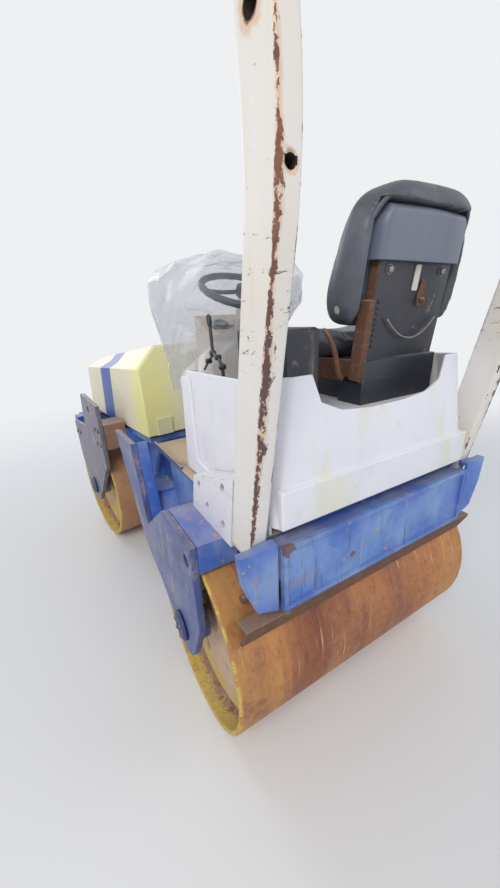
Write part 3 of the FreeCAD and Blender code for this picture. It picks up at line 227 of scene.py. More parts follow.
def joined(skins):
    """Several skins as one: their points in a row, each one's faces counted on."""
    points, faces, count = [], [], 0
    for some, quads in skins:
        points.append(some)
        faces += [[index + count for index in quad] for quad in quads]
        count += len(some)
    return np.vstack(points), faces


def softened(corners, radius, steps, closed=True):
    """An outline with rounded corners. Each corner gives way to a curve from a point one
    radius before it to a point one radius after it, weighted (1-t) squared, 2t(1-t) and t
    squared between the first point, the corner and the second point."""
    p = np.asarray(corners, float)
    t = np.linspace(0, 1, steps + 1)[None, :, None]

    def reach(others):
        line = others - p
        return p + line * np.minimum(radius / np.linalg.norm(line, axis=1, keepdims=True),
                                     0.45)

    start, end = reach(np.roll(p, 1, 0))[:, None], reach(np.roll(p, -1, 0))[:, None]
    curve = (1 - t) ** 2 * start + 2 * t * (1 - t) * p[:, None] + t ** 2 * end
    if closed:
        return curve.reshape(-1, p.shape[1])
    return np.vstack([p[:1], curve[1:-1].reshape(-1, p.shape[1]), p[-1:]])


def oblong(half_u, half_v, radius, steps):
    """A rectangle about the origin with rounded corners."""
    return softened([(-half_u, -half_v), (half_u, -half_v), (half_u, half_v),
                     (-half_u, half_v)], radius, steps)


def lathe(profile, centre, axis, sides):
    """Rings of a profile turned about an axis: each row of the profile is a distance along
    the axis and a radius, and each point is the centre, plus the distance along the axis,
    plus the radius times (cosine of the angle across, sine of the angle up)."""
    axis = np.asarray(axis, float) / np.linalg.norm(axis)
    across = np.cross(axis, (0.0, 0.0, 1.0) if abs(axis[2]) < 0.9 else (1.0, 0.0, 0.0))
    across /= np.linalg.norm(across)
    up = np.cross(across, axis)
    angle = np.linspace(0, 2 * math.pi, sides, endpoint=False)[:, None]
    spokes = np.cos(angle) * across + np.sin(angle) * up
    profile = np.asarray(profile, float)
    return (np.asarray(centre, float) + profile[:, 0, None, None] * axis
            + profile[:, 1, None, None] * spokes[None])


def tube(path, radius, sides=12, level=(0.0, 0.0, 1.0)):
    """Rings of a round bar along a path: each is the path's point plus the radius times
    (cosine along the level side, sine along the upright one), square to the path."""
    path = np.asarray(path, float)
    along = np.gradient(path, axis=0)
    along /= np.linalg.norm(along, axis=1, keepdims=True)
    side = np.cross(along, level)
    side /= np.linalg.norm(side, axis=1, keepdims=True)
    up = np.cross(side, along)
    angle = np.linspace(0, 2 * math.pi, sides, endpoint=False)[None, :, None]
    size = np.broadcast_to(radius, len(path))[:, None, None]
    return path[:, None] + size * (np.cos(angle) * side[:, None] + np.sin(angle) * up[:, None])


def plate_rings(outline, origin, u, v, depth):
    """Two rings of a flat plate: the outline laid out along u and v from the origin, and
    the same again moved by the depth, which is a vector."""
    outline = np.asarray(outline, float)
    flat = (np.asarray(origin, float) + outline[:, :1] * np.asarray(u, float)
            + outline[:, 1:] * np.asarray(v, float))
    return np.stack([flat, flat + np.asarray(depth, float)])


def plate_skin(rings):
    """Walls between the two rings of a plate, and one face over each ring."""
    columns = rings.shape[1]
    faces = grid_faces(2, columns, False, True).tolist()
    faces += [list(range(columns))[::-1], list(range(columns, 2 * columns))]
    return rings.reshape(-1, 3), faces


def hex_heads(places, directions, size):
    """Bolt heads on washers, all of one kind: one head is a six-sided turned profile over a
    sixteen-sided one, and each copy is it turned to its direction and moved to its place."""
    s = size / 2
    head = lathe([(0.1 * s, s), (0.62 * s, s), (0.75 * s, 0.8 * s)], (0, 0, 0), (0, 0, 1), 6)
    washer = lathe([(0, 1.3 * s), (0.1 * s, 1.3 * s), (0.15 * s, 1.2 * s)], (0, 0, 0),
                   (0, 0, 1), 16)
    points, faces = joined([ring_skin(head), ring_skin(washer)])
    z = np.asarray(directions, float)
    z = z / np.linalg.norm(z, axis=1, keepdims=True)
    spare = np.where(np.abs(z[:, 2:]) < 0.9, [[0.0, 0.0, 1.0]], [[1.0, 0.0, 0.0]])
    x = np.cross(spare, z)
    x /= np.linalg.norm(x, axis=1, keepdims=True)
    turn = np.stack([x, np.cross(z, x), z], 1)
    placed = np.einsum("pk,nkc->npc", points, turn) + np.asarray(places, float)[:, None]
    return joined([(copy, faces) for copy in placed])


def smooth_share(value, low, high):
    """0 below low, 1 above high, and 3t squared less 2t cubed between."""
    t = np.clip((value - low) / (high - low), 0, 1)
    return t * t * (3 - 2 * t)


def blunt(wave, power):
    """A cosine or sine raised to a power with its sign kept, as in a superellipse."""
    return np.sign(wave) * np.abs(wave) ** power


def bulge(height, power):
    """Size of a superellipse's rows from its foot at -1 to its top at 1, never quite 0."""
    return np.clip(1 - np.abs(height) ** power, 0, 1) ** (1 / power) * 0.99 + 0.01


def channel(away):
    """Section of a sewn channel: e to the power of minus the square of the distance, as a
    share of its half width."""
    return np.exp(-(away / CHANNEL) ** 2)


def waves(angle, seed, counts, fade):
    """A sum of cosines round a ring, each with its own count and a seeded phase."""
    phases = np.random.default_rng(seed).uniform(0, 2 * math.pi, len(counts))
    return sum(np.cos(n * angle + phase) / n ** fade for n, phase in zip(counts, phases))


# Pieces ---------------------------------------------------------------------------------


def linked(name, mesh, shape):
    """A smooth object at the origin, its mesh filled from a bmesh that is done with."""
    shape.to_mesh(mesh)
    shape.free()
    mesh.shade_smooth()
    piece = bpy.data.objects.new(name, mesh)
    bpy.context.scene.collection.objects.link(piece)
    return piece


def new_object(name, points, faces, merge=1e-5):
    """An object from points and faces, with doubles merged and its faces outwards."""
    mesh = bpy.data.meshes.new(name)
    mesh.from_pydata(np.asarray(points).tolist(), [], faces)
    shape = bmesh.new()
    shape.from_mesh(mesh)
    bmesh.ops.remove_doubles(shape, verts=shape.verts, dist=merge)
    bmesh.ops.recalc_face_normals(shape, faces=shape.faces)
    return linked(name, mesh, shape)


def rounding(piece, width):
    """A bevel of two segments."""
    bevel = piece.modifiers.new("round", "BEVEL")
    bevel.width = width
    bevel.segments = 2
    return bevel


def soft_edges(piece, width):
    """Rounds a piece's sharp edges and keeps its flat faces flat in the light."""
    if width > 0:
        bevel = rounding(piece, width)
        bevel.limit_method = "ANGLE"
        bevel.angle_limit = math.radians(35)
        bevel.use_clamp_overlap = True
    piece.modifiers.new("light", "WEIGHTED_NORMAL").keep_sharp = True
    return piece


def settle(piece, finish, body, replaces=()):
    """Gives a piece its finish, the body it moves with and the nodes it stands
    for."""
    piece.data.materials.clear()
    piece.data.materials.append(finish)
    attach(piece, body)
    if replaces:
        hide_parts(*replaces)
    return piece


def formed(name, skins, finish, body="rear_frame", replaces=(), edge=0.0):
    """A settled piece of one or more skins, with its edges rounded by a width."""
    piece = soft_edges(new_object(name, *joined(skins)), edge)
    return settle(piece, finish, body, replaces)


def applied(piece):
    """The piece with its modifiers worked into its mesh."""
    graph = bpy.context.evaluated_depsgraph_get()
    mesh = bpy.data.meshes.new_from_object(piece.evaluated_get(graph))
    piece.modifiers.clear()
    piece.data = mesh
    return piece


def dressed(node, finish, width):
    """A copy of a CAD node with its flat faces whole again and its sharp edges rounded, each
    by no more than the faces beside it allow: the width times twice their area over their
    outline, as a share of the widest."""
    source = frame["nodes"][node]
    shape = bmesh.new()
    shape.from_mesh(source.data)
    bmesh.ops.remove_doubles(shape, verts=shape.verts, dist=1e-5)
    bmesh.ops.dissolve_limit(shape, angle_limit=FLAT, verts=shape.verts, edges=shape.edges)
    weights = shape.edges.layers.float.new("bevel_weight_edge")
    for edge in shape.edges:
        if len(edge.link_faces) == 2 and edge.calc_face_angle(0) > SHARP:
            room = min(2 * face.calc_area() / face.calc_perimeter()
                       for face in edge.link_faces)
            edge[weights] = min(1.0, 0.3 * room / width)
    name = node + "_skin"
    piece = linked(name, bpy.data.meshes.new(name), shape)
    bevel = rounding(piece, width)
    bevel.limit_method = "WEIGHT"
    bevel.use_clamp_overlap = False
    applied(soft_edges(piece, 0))
    return settle(piece, finish, source["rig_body"], (node,))


def refinish(piece, finish, chosen):
    """Gives a second finish to the faces whose middles pass a test on whole arrays."""
    mesh = piece.data
    mesh.materials.append(finish)
    middles = np.empty(len(mesh.polygons) * 3)
    mesh.polygons.foreach_get("center", middles)
    places = middles.reshape(-1, 3)
    index = np.empty(len(places), np.int32)
    mesh.polygons.foreach_get("material_index", index)
    mesh.polygons.foreach_set(
        "material_index",
        np.where(chosen(places), len(mesh.materials) - 1, index).astype(np.int32))
    mesh.update()


def refinish_node(node, finish):
    """A new finish on a CAD node that stays as it is."""
    mesh = frame["nodes"][node].data
    mesh.materials.clear()
    mesh.materials.append(finish)


def point_values(piece, name, values):
    """Stores one number for each point of a piece, for its finish to read."""
    layer = piece.data.attributes.new(name, "FLOAT", "POINT")
    layer.data.foreach_set("value", np.asarray(values, np.float32).ravel())


def points_of(piece):
    """A piece's points as an array."""
    flat = np.empty(len(piece.data.vertices) * 3)
    piece.data.vertices.foreach_get("co", flat)
    return flat.reshape(-1, 3)


def move_points(piece, points):
    """Puts an array of points back into a piece."""
    piece.data.vertices.foreach_set("co", points.astype(np.float32).ravel())
    piece.data.update()


def face_towards(piece, way):
    """Turns an open sheet's faces over if its middle one looks against a direction."""
    faces = piece.data.polygons
    if faces[len(faces) // 2].normal.dot(Vector(way)) < 0:
        piece.data.flip_normals()


def walled(piece, way):
    """An open sheet that faces a direction, with a thin wall behind it."""
    face_towards(piece, way)
    wall = piece.modifiers.new("wall", "SOLIDIFY")
    wall.thickness = 0.003
    wall.offset = -1.0
    return piece


def swell(piece, voxel, cap, frames):
    """Cloth under pressure: the pad is remeshed on a fine grid, blown up for some frames
    with gravity off, and no point ends further than the cap from where it began."""
    remesh = piece.modifiers.new("grid", "REMESH")
    remesh.mode = "VOXEL"
    remesh.voxel_size = voxel
    applied(piece)
    start = points_of(piece)
    cloth = piece.modifiers.new("cloth", "CLOTH")
    cloth.settings.use_pressure = True
    cloth.settings.uniform_pressure_force = 4.0
    cloth.settings.effector_weights.gravity = 0.0
    cloth.settings.quality = 4
    scene = bpy.context.scene
    for step in range(1, frames + 1):
        scene.frame_set(step)
    applied(piece)
    scene.frame_set(1)
    moved = points_of(piece) - start
    far = np.linalg.norm(moved, axis=1, keepdims=True)
    move_points(piece, start + moved * np.minimum(1.0, cap / np.maximum(far, 1e-9)))


# Finishes -------------------------------------------------------------------------------


def shade(paint, amount):
    """A colour times a number, none of its parts above 1."""
    return tuple(min(1.0, amount * part) for part in paint)


def feed(tree, socket, value):
    """Gives a socket a node's output, a vector or colour as a tuple, or a number."""
    if isinstance(value, bpy.types.NodeSocket):
        tree.links.new(value, socket)
    elif isinstance(value, tuple):
        socket.default_value = (*value, 1.0)[:len(socket.default_value)]
    else:
        socket.default_value = value


def add_node(tree, kind, inputs=(), **settings):
    """A shader node with its settings, and its inputs fed by name or by number."""
    made = tree.nodes.new("ShaderNode" + kind)
    for name, value in settings.items():
        setattr(made, name, value)
    for socket, value in dict(inputs).items():
        feed(tree, made.inputs[socket], value)
    return made


class Finish:
    """One procedural material, made a node at a time. Values are numbers or node outputs,
    and base is the colour so far."""

    def __init__(self, name, sockets=()):
        self.material = bpy.data.materials.new(name)
        self.material.use_nodes = True
        self.tree = self.material.node_tree
        self.tree.nodes.clear()
        self.shader = self.node("BsdfPrincipled", sockets)
        self.out = self.node("OutputMaterial", {0: self.shader.outputs[0]})
        self.place = self.node("TexCoord").outputs["Object"]
        self.base = None

    def node(self, kind, inputs=(), **settings):
        """A node of this material."""
        return add_node(self.tree, kind, inputs, **settings)

    def turned(self, stretch=(1, 1, 1), shift=(0, 0, 0), turn=(0, 0, 0)):
        """Object coordinates, less a shift, turned back and stretched."""
        moved = self.node("VectorMath", {0: self.place, 1: shift}, operation="SUBTRACT")
        return self.node("Mapping", {"Vector": moved.outputs[0], "Rotation": turn,
                                     "Scale": stretch}).outputs[0]

    def noise(self, scale, detail=3.0, rough=0.55, stretch=(1, 1, 1), shift=(0, 0, 0),
              turn=(0, 0, 0), twist=0.0):
        """Fractal noise at the turned place."""
        return self.node("TexNoise", {
            "Vector": self.turned(stretch, shift, turn), "Scale": scale, "Detail": detail,
            "Roughness": rough, "Distortion": twist}).outputs[0]

    def slanted(self, scale, along, detail, drawn):
        """Noise drawn out along a direction: the place is turned first and stretched after."""
        turn = tuple(Vector(along).rotation_difference(Vector((1, 0, 0))).to_euler())
        long = self.node("VectorMath", {0: self.turned(turn=turn), 1: (drawn, 1, 1)},
                         operation="MULTIPLY")
        return self.node("TexNoise", {"Vector": long.outputs[0], "Scale": scale,
                                      "Detail": detail}).outputs[0]

    def share(self, value, low, high, bottom=0.0, top=1.0):
        """A value's smooth rise from low to high, as a number from bottom to top."""
        names = ("Value", "From Min", "From Max", "To Min", "To Max")
        inputs = dict(zip(names, (value, low, high, bottom, top)))
        return self.node("MapRange", inputs, interpolation_type="SMOOTHSTEP").outputs[0]

    def maths(self, operation, first, second=0.0):
        return self.node("Math", {0: first, 1: second}, operation=operation).outputs[0]

    def times(self, first, second):
        return self.maths("MULTIPLY", first, second)

    def most(self, first, second):
        return self.maths("MAXIMUM", first, second)

    def plus(self, first, second):
        return self.maths("ADD", first, second)

    def less(self, first, second):
        return self.maths("SUBTRACT", first, second)

    def away(self, value, middle=0.5):
        """How far a value is from a middle one, to either side."""
        return self.maths("ABSOLUTE", self.less(value, middle))

    def blend(self, factor, first, second):
        """From the first colour to the second as the factor goes from 0 to 1."""
        return self.node("Mix", {0: factor, 6: first, 7: second},
                         data_type="RGBA").outputs[2]

    def coat(self, paint, *shares):
        """Lays a colour over the base, as far as the product of the shares."""
        factor = shares[0]
        for other in shares[1:]:
            factor = self.times(factor, other)
        self.base = self.blend(factor, self.base, paint)

    def part(self, vector, index):
        """One of a vector's three numbers."""
        return self.node("SeparateXYZ", {0: vector}).outputs[index]

    def reach(self, vector):
        """The length of a vector."""
        return self.node("VectorMath", {0: vector}, operation="LENGTH").outputs["Value"]

    def straight(self):
        """How far ahead of the steering pin and to the left of it a place on the front half
        is, as if the machine stood straight."""
        turned = self.turned(shift=tuple(rear_place((0, 0, 0))), turn=(0, 0, -PARKED))
        return self.part(turned, 0), self.part(turned, 1)

    def value_of(self, name):
        """The number stored for each point under a name."""
        return self.node("Attribute", attribute_name=name).outputs["Fac"]

    def upward(self, low=0.5, high=0.95):
        """How far a face looks up."""
        return self.share(self.part(self.node("NewGeometry").outputs["Normal"], 2), low, high)

    def rim(self, radius):
        """How near an outer or inner edge is, from the bend of a rounded normal."""
        bent = self.node("Bevel", {"Radius": radius}, samples=4).outputs[0]
        plain = self.node("NewGeometry").outputs["Normal"]
        same = self.node("VectorMath", {0: bent, 1: plain}, operation="DOT_PRODUCT")
        return self.share(self.less(1.0, same.outputs["Value"]), 0.02, 0.25)

    def near(self, centre, radius, ragged=0.3, scale=40):
        """A ragged spot about a place."""
        far = self.node("VectorMath", {0: self.place, 1: centre}, operation="DISTANCE")
        wobble = self.times(self.noise(scale, 3), radius * ragged * 2)
        return self.share(self.plus(far.outputs["Value"], wobble), radius * (0.8 + ragged),
                          radius * (1.1 + ragged), 1.0, 0.0)

    def bump(self, height, strength, distance):
        """Makes the surface look raised by a height, at most by a distance."""
        made = self.node("Bump", {"Strength": strength, "Distance": distance,
                                  "Height": height})
        feed(self.tree, self.shader.inputs["Normal"], made.outputs[0])

    def done(self, roughness):
        """The material, once its base colour is laid."""
        feed(self.tree, self.shader.inputs["Base Color"], self.base)
        feed(self.tree, self.shader.inputs["Roughness"], roughness)
        return self.material


def worn_paint(name, paint, faded, rust, dust, chips, dusting=0.3, scratches=0.5, tint=None,
               extra=None):
    """Old paint: it fades in blotches, is scratched, chips to rust most along its edges,
    and holds dust where it looks up. extra may lay more coats, given the finish."""
    f = Finish(name)
    f.base = f.blend(f.share(f.noise(5, 4, 0.6), 0.36, 0.68), paint, faded)
    if tint:
        f.coat(tint[0], f.share(f.noise(9, 3, stretch=(1, 1, 0.22)), 0.52, 0.72), tint[1])
    marks = f.share(f.noise(26, 5, 0.65, stretch=(1, 1, 0.07), turn=(0.5, 0.35, 0.2)),
                    0.60, 0.66)
    cross = f.share(f.noise(30, 5, 0.65, stretch=(0.07, 1, 1), turn=(0.1, 0.4, 0.5)),
                    0.61, 0.66)
    f.coat(dust, f.most(marks, cross), f.share(f.noise(3.5, 2), 0.45, 0.6), scratches)
    f.coat(rust, f.share(f.noise(14, 5, 0.7), 0.55, 0.75), 0.1 + 0.35 * chips)
    loss = f.plus(f.noise(34, 6, 0.72), f.times(f.rim(0.007), 0.24 * (0.5 + chips)))
    bare = f.share(loss, 0.80 - 0.16 * chips, 0.83 - 0.16 * chips)
    f.coat(f.blend(f.noise(70, 4), rust, shade(rust, 0.45)), bare)
    if extra:
        extra(f)
    settled = f.times(f.times(f.upward(), f.share(f.noise(7, 4), 0.3, 0.7)), dusting)
    f.coat(dust, settled)
    f.bump(f.less(f.times(f.noise(180, 3), 0.15), bare), 0.35, 0.001)
    return f.done(f.share(f.most(bare, settled), 0.0, 1.0, 0.42, 0.85))


def drum_skin(name, c, turn, axle, dusty):
    """Rust worn round the drum: noise stretched round the axle gives bands and streaks
    across its width, one dark red band stands to the left, worn yellow paint is left on its
    rims, and dust dulls it."""
    f = Finish(name, {"Metallic": 0.15})
    local = dict(shift=axle, turn=(0, 0, turn))
    broad = f.noise(3.2, 3, 0.55, stretch=(0.5, 1.9, 0.5), **local)
    bands = f.noise(6, 4, 0.6, stretch=(0.25, 3.0, 0.25), **local)
    fine = f.noise(16, 6, 0.8, stretch=(0.35, 3.0, 0.35), twist=0.8, **local)
    mottle = f.noise(38, 6, 0.8, **local)
    f.base = f.blend(f.share(broad, 0.36, 0.66), c.drum_rust, c.drum_dark)
    f.coat(srgb(200, 148, 96), f.share(bands, 0.46, 0.72), 0.6)
    f.coat(srgb(122, 78, 68), f.share(bands, 0.5, 0.3), 0.35)
    f.coat(c.drum_pale, f.share(fine, 0.53, 0.74),
           f.share(f.noise(4, 4, **local), 0.42, 0.6), 0.75)
    f.coat(srgb(176, 134, 106), f.share(mottle, 0.5, 0.7), 0.6)
    f.coat(shade(c.drum_dark, 0.55), f.share(mottle, 0.5, 0.3), 0.6)
    width = f.part(f.turned(**local), 1)
    wander = f.plus(width, f.times(f.less(bands, 0.5), 0.16))
    f.coat(srgb(206, 154, 84), f.share(f.maths("ABSOLUTE", wander), 0.30, 0.46),
           f.share(f.noise(9, 6, 0.75, **local), 0.34, 0.62), 0.6)
    f.coat(srgb(112, 58, 46), f.share(f.away(wander, 0.25), 0.02, 0.09, 1.0, 0.0), 0.55)
    hairs = f.noise(34, 3, 0.55, stretch=(0.08, 3.0, 0.08), **local)
    f.coat(srgb(232, 206, 178), f.share(hairs, 0.6, 0.68),
           f.share(f.noise(5, 3, **local), 0.46, 0.6), 0.6)
    f.coat(c.dust, dusty)
    f.coat(c.yellow, f.share(f.maths("ABSOLUTE", width), DRUM_HALF - 0.012, DRUM_HALF - 0.002),
           f.share(f.noise(30, 6, 0.78), 0.42, 0.54))
    f.bump(f.plus(fine, f.times(mottle, 0.8)), 0.35, 0.002)
    return f.done(f.share(bands, 0.3, 0.7, 0.5, 0.78))


def end_finish(name, c, axle, paint_from):
    """Dusty end plates: yellow paint survives beyond a radius, and the middle is a rubbed
    brown."""
    f = Finish(name)
    radius = f.reach(f.turned(shift=axle, stretch=(1, 0, 1)))
    out = f.plus(radius, f.times(f.noise(12, 4), 0.12))
    f.base = f.blend(f.noise(16, 5, 0.65), srgb(222, 198, 176), srgb(178, 146, 122))
    f.coat(srgb(150, 112, 84), f.share(f.noise(9, 4), 0.58, 0.72))
    f.coat(c.yellow, f.share(out, paint_from, paint_from + 0.08),
           f.share(f.noise(30, 6, 0.78), 0.42, 0.52),
           f.share(f.away(f.noise(26, 5, 0.7)), 0.0, 0.03), 0.9)
    f.bump(f.noise(90, 5), 0.3, 0.002)
    return f.done(0.82)


def inside_finish(name, c, axle, turn):
    """Inside of a drum's shell: yellow paint near the opening, rust and dust further in."""
    f = Finish(name)
    width = f.maths("ABSOLUTE", f.part(f.turned(shift=axle, turn=(0, 0, turn)), 1))
    paint = f.plus(f.times(f.share(width, 0.40, 0.5), 0.5), f.noise(30, 6, 0.75))
    f.base = f.blend(f.noise(14, 4), c.dust, srgb(140, 104, 80))
    f.coat(srgb(128, 92, 72), f.share(f.noise(20, 6, 0.75), 0.52, 0.6))
    f.coat(c.yellow, f.share(paint, 0.74, 0.84),
           f.share(f.away(f.noise(40, 5, 0.7)), 0.0, 0.03), 0.9)
    f.bump(f.noise(100, 4), 0.3, 0.001)
    return f.done(0.75)


def post_finish(name, c, holes):
    """Cream-white tube: one long rust split down the outer rear corner, rust along the other
    corners and round the holes, and short scars and stains across the faces."""
    f = Finish(name)
    height = f.part(f.place, 2)
    f.base = f.blend(f.share(f.noise(5, 4), 0.35, 0.7), c.post, srgb(222, 216, 208))
    stain = f.share(f.noise(10, 5, 0.65, stretch=(1, 1, 0.1)), 0.5, 0.75)
    f.coat(srgb(208, 184, 146), stain, 0.5)
    f.coat(srgb(204, 158, 92), f.value_of("rear"), f.share(height, 1.6, 1.95),
           f.share(f.noise(26, 3, 0.5, stretch=(1, 1, 0.06)), 0.42, 0.6), 0.85)
    rust = f.blend(f.share(height, 1.25, 1.45), srgb(92, 76, 80), srgb(132, 90, 70))
    rust = f.blend(f.share(f.noise(45, 5, 0.7), 0.4, 0.65), rust, c.rust)
    wide = f.times(f.less(f.noise(9, 3, 0.6, stretch=(1, 1, 1.4)), 0.5), 1.5)
    ragged = f.times(f.less(f.noise(70, 5, 0.8, stretch=(1, 1, 0.6)), 0.5), 3.4)
    split = f.share(f.plus(f.value_of("split"), f.plus(wide, ragged)), 0.46, 0.52)
    corner = f.share(f.plus(f.times(f.value_of("corner"), 0.42),
                            f.noise(26, 6, 0.78, stretch=(1, 1, 0.5))), 0.94, 0.97)
    across = f.times(f.share(height, 1.16, 1.24), f.share(height, 1.34, 1.5, 1.0, 0.0))
    scars = f.share(f.plus(f.noise(22, 6, 0.8, stretch=(1, 1, 2.6), twist=0.8),
                           f.times(across, 0.06)), 0.67, 0.685)
    bare = f.most(f.most(split, corner), scars)
    halo = f.share(f.plus(f.value_of("split"), f.noise(9, 5, 0.7)), 0.6, 1.2)
    for place, radius in holes:
        bare = f.most(bare, f.near(place, 1.15 * radius, 0.35, 90))
        halo = f.most(halo, f.near(place, 1.9 * radius, 0.5, 50))
    f.coat(srgb(206, 160, 112), halo, 0.55)
    f.coat(rust, bare)
    f.bump(f.less(f.times(f.noise(150, 3), 0.1), bare), 0.5, 0.0015)
    return f.done(f.share(bare, 0, 1, 0.45, 0.85))


def vinyl_finish(name, paint, tear):
    """Grained vinyl, rubbed paler in random patches, with fine creases and a pale tear."""
    f = Finish(name, {"Coat Weight": 0.08})
    rub = f.share(f.noise(7, 4), 0.42, 0.72)
    f.base = f.blend(rub, paint, shade(paint, 1.7))
    f.coat(srgb(190, 184, 168), f.near(tear, 0.011))
    grain = f.node("TexVoronoi", {"Vector": f.place, "Scale": 420}).outputs["Distance"]
    crease = f.noise(16, 5, 0.6, twist=1.2)
    f.bump(f.plus(f.times(grain, 0.35), f.times(crease, 0.7)), 0.3, 0.0012)
    return f.done(f.share(rub, 0, 1, 0.46, 0.6))


def moulded_finish(name, paint, streaked=0.5):
    """Hard moulded cover with pale upright smears."""
    f = Finish(name)
    smear = f.share(f.noise(7, 4, stretch=(1, 1, 0.12)), 0.45, 0.75)
    f.base = f.blend(f.times(smear, streaked), paint, shade(paint, 1.5))
    f.coat(shade(paint, 0.5), f.share(f.noise(24, 5, 0.7), 0.6, 0.78), 0.4)
    f.bump(f.noise(260, 3), 0.2, 0.0006)
    return f.done(f.share(smear, 0, 1, 0.42, 0.55))


def metal_finish(name, paint, rust):
    """Plated steel, dulled and spotted with rust."""
    f = Finish(name, {"Metallic": 0.75})
    spot = f.share(f.noise(90, 5, 0.7), 0.58, 0.68)
    f.base = f.blend(f.noise(30, 3), paint, shade(paint, 0.6))
    f.coat(rust, spot)
    f.bump(f.noise(200, 3), 0.25, 0.0005)
    return f.done(f.share(spot, 0, 1, 0.4, 0.85))


def rusty_finish(name, paint, dust):
    """Bare steel gone to brown rust with dry dust lying on it."""
    f = Finish(name, {"Metallic": 0.1})
    f.base = f.blend(f.noise(18, 5, 0.7), paint, shade(paint, 0.55))
    f.coat(dust, f.share(f.noise(40, 6, 0.75), 0.52, 0.7), 0.35)
    f.coat(dust, f.upward(0.2, 0.9), 0.5)
    f.bump(f.noise(140, 5, 0.7), 0.45, 0.0015)
    return f.done(0.86)


def sheet_finish(name, paint):
    """Clear plastic film: mostly see-through, hazy in broad patches, and with a hard gloss.
    Thin creases
    and broad streaks, drawn taut from low at the front to high at the rear, are painted
    highlights:
    both make the film more opaque, and the streaks also whiten its colour."""
    f = Finish(name, {"IOR": 1.45})
    pull = (-0.39, -0.68, 0.63)
    # Creases: thin lines, painted highlights that make the film more opaque where they run
    crease = f.times(f.share(f.away(f.slanted(7, pull, 0, 0.06)), 0.0, 0.016, 1.0, 0.0),
                     f.share(f.noise(4.5, 1), 0.44, 0.56))
    # Streaks: broad slanted bands, painted highlights
    highlight_streaks = f.share(f.slanted(13, pull, 1, 0.08), 0.55, 0.72)
    cloudy = f.share(f.noise(3.2, 3), 0.32, 0.72)
    # Opacity: real haze in broad patches and along the folds, plus painted highlights from the
    # creases and streaks
    haze_and_highlights = f.plus(f.times(crease, 0.16), f.times(cloudy, 0.18))
    haze_and_highlights = f.plus(haze_and_highlights, f.times(highlight_streaks, 0.3))
    haze_and_highlights = f.plus(haze_and_highlights, f.times(f.value_of("fold"), 0.2))
    feed(f.tree, f.shader.inputs["Alpha"], f.plus(haze_and_highlights, 0.27))
    height = f.plus(f.slanted(8, pull, 0, 0.08), f.times(crease, 0.2))
    f.bump(f.plus(height, f.times(highlight_streaks, 0.2)), 0.5, 0.012)
    # Painted highlight: the colour turns white along the streaks
    f.base = f.blend(highlight_streaks, paint, srgb(252, 253, 255))
    return f.done(0.1)


class RollerOperator(Operator):
    """Common to the roller's operators: short ways to its sizes, colours and finishes."""

    bl_options = {"REGISTER", "UNDO"}

    @property
    def sizes(self):
        return bpy.context.scene.roller_sizes

    @property
    def colours(self):
        """The panel's colours by name, as plain tuples."""
        group = bpy.context.scene.roller_colours
        return SimpleNamespace(**{name: tuple(getattr(group, name))
                                  for name in RollerColours.__annotations__})

    def worn(self, name, paint, faded, **wear):
        """A worn paint in the panel's rust and dust."""
        return worn_paint(name, paint, faded, self.colours.rust, self.colours.dust, **wear)

    def paint(self, name):
        """A shared worn paint by its name, made once."""
        c = self.colours
        kinds = {
            "blue_plate": (c.blue, c.blue_faded,
                           dict(chips=0.85, scratches=0.8, dusting=0.4)),
            "blue_dull": (srgb(70, 84, 130), srgb(120, 120, 144),
                          dict(chips=1.15, scratches=1.0, dusting=0.5)),
            "white_body": (c.white, srgb(222, 222, 232),
                           dict(chips=0.02, scratches=0.03, dusting=0.0,
                                tint=(srgb(212, 210, 150), 0.4))),
            "white_plate": (srgb(224, 222, 228), srgb(218, 216, 224),
                            dict(chips=0.35, scratches=0.2, dusting=0.1)),
            "black_steel": (c.black, srgb(44, 48, 58),
                            dict(chips=0.35, scratches=0.35, dusting=0.3)),
            "beige_shell": (c.beige, srgb(220, 210, 194),
                            dict(chips=0.2, scratches=0.3, dusting=0.3)),
        }
        paint, faded, wear = kinds[name]
        return bpy.data.materials.get(name) or self.worn(name, paint, faded, **wear)

    def side_plate(self, name, paint, faded):
        """Paint of a side plate, scraped along its slope, with tan dirt and dark patches."""
        slope = dict(stretch=(1, 1, 0.45), turn=(0, 0.5, 0))

        def marks(f):
            f.coat(srgb(164, 152, 150), f.share(f.noise(17, 6, 0.76, **slope), 0.52, 0.63),
                   0.55)
            dark = f.noise(11, 6, 0.76, shift=(3, 1, 2), **slope)
            f.coat(srgb(62, 58, 86), f.share(dark, 0.53, 0.65), 0.6)

        return self.worn(name, paint, faded, chips=0.95, scratches=0.3, dusting=0.5,
                         extra=marks)

    def rusty(self):
        """Brown rusty steel."""
        found = bpy.data.materials.get("rusty_steel")
        return found or rusty_finish("rusty_steel", srgb(120, 84, 66), self.colours.dust)

    def dark(self):
        """Near-black steel on the walls of holes: painted shade for the dark inside of the
        tube.
        """
        found = bpy.data.materials.get("hole_grime")
        return found or rusty_finish("hole_grime", srgb(44, 36, 34), srgb(70, 54, 44))

    def metal(self):
        """Dull plated steel."""
        found = bpy.data.materials.get("plated_steel")
        return found or metal_finish("plated_steel", self.colours.steel, self.colours.rust)

    def bolts(self, name, places, directions, body, place=rear_place, size=None):
        """A group of like bolts, given straight and from the steering pin."""
        start = place(places)
        ways = place(np.asarray(places, float) + np.asarray(directions, float)) - start
        heads = hex_heads(start, ways, size or self.sizes.bolt_size)
        return formed(name, [heads], self.metal(), body)


# Operators ------------------------------------------------------------------------------


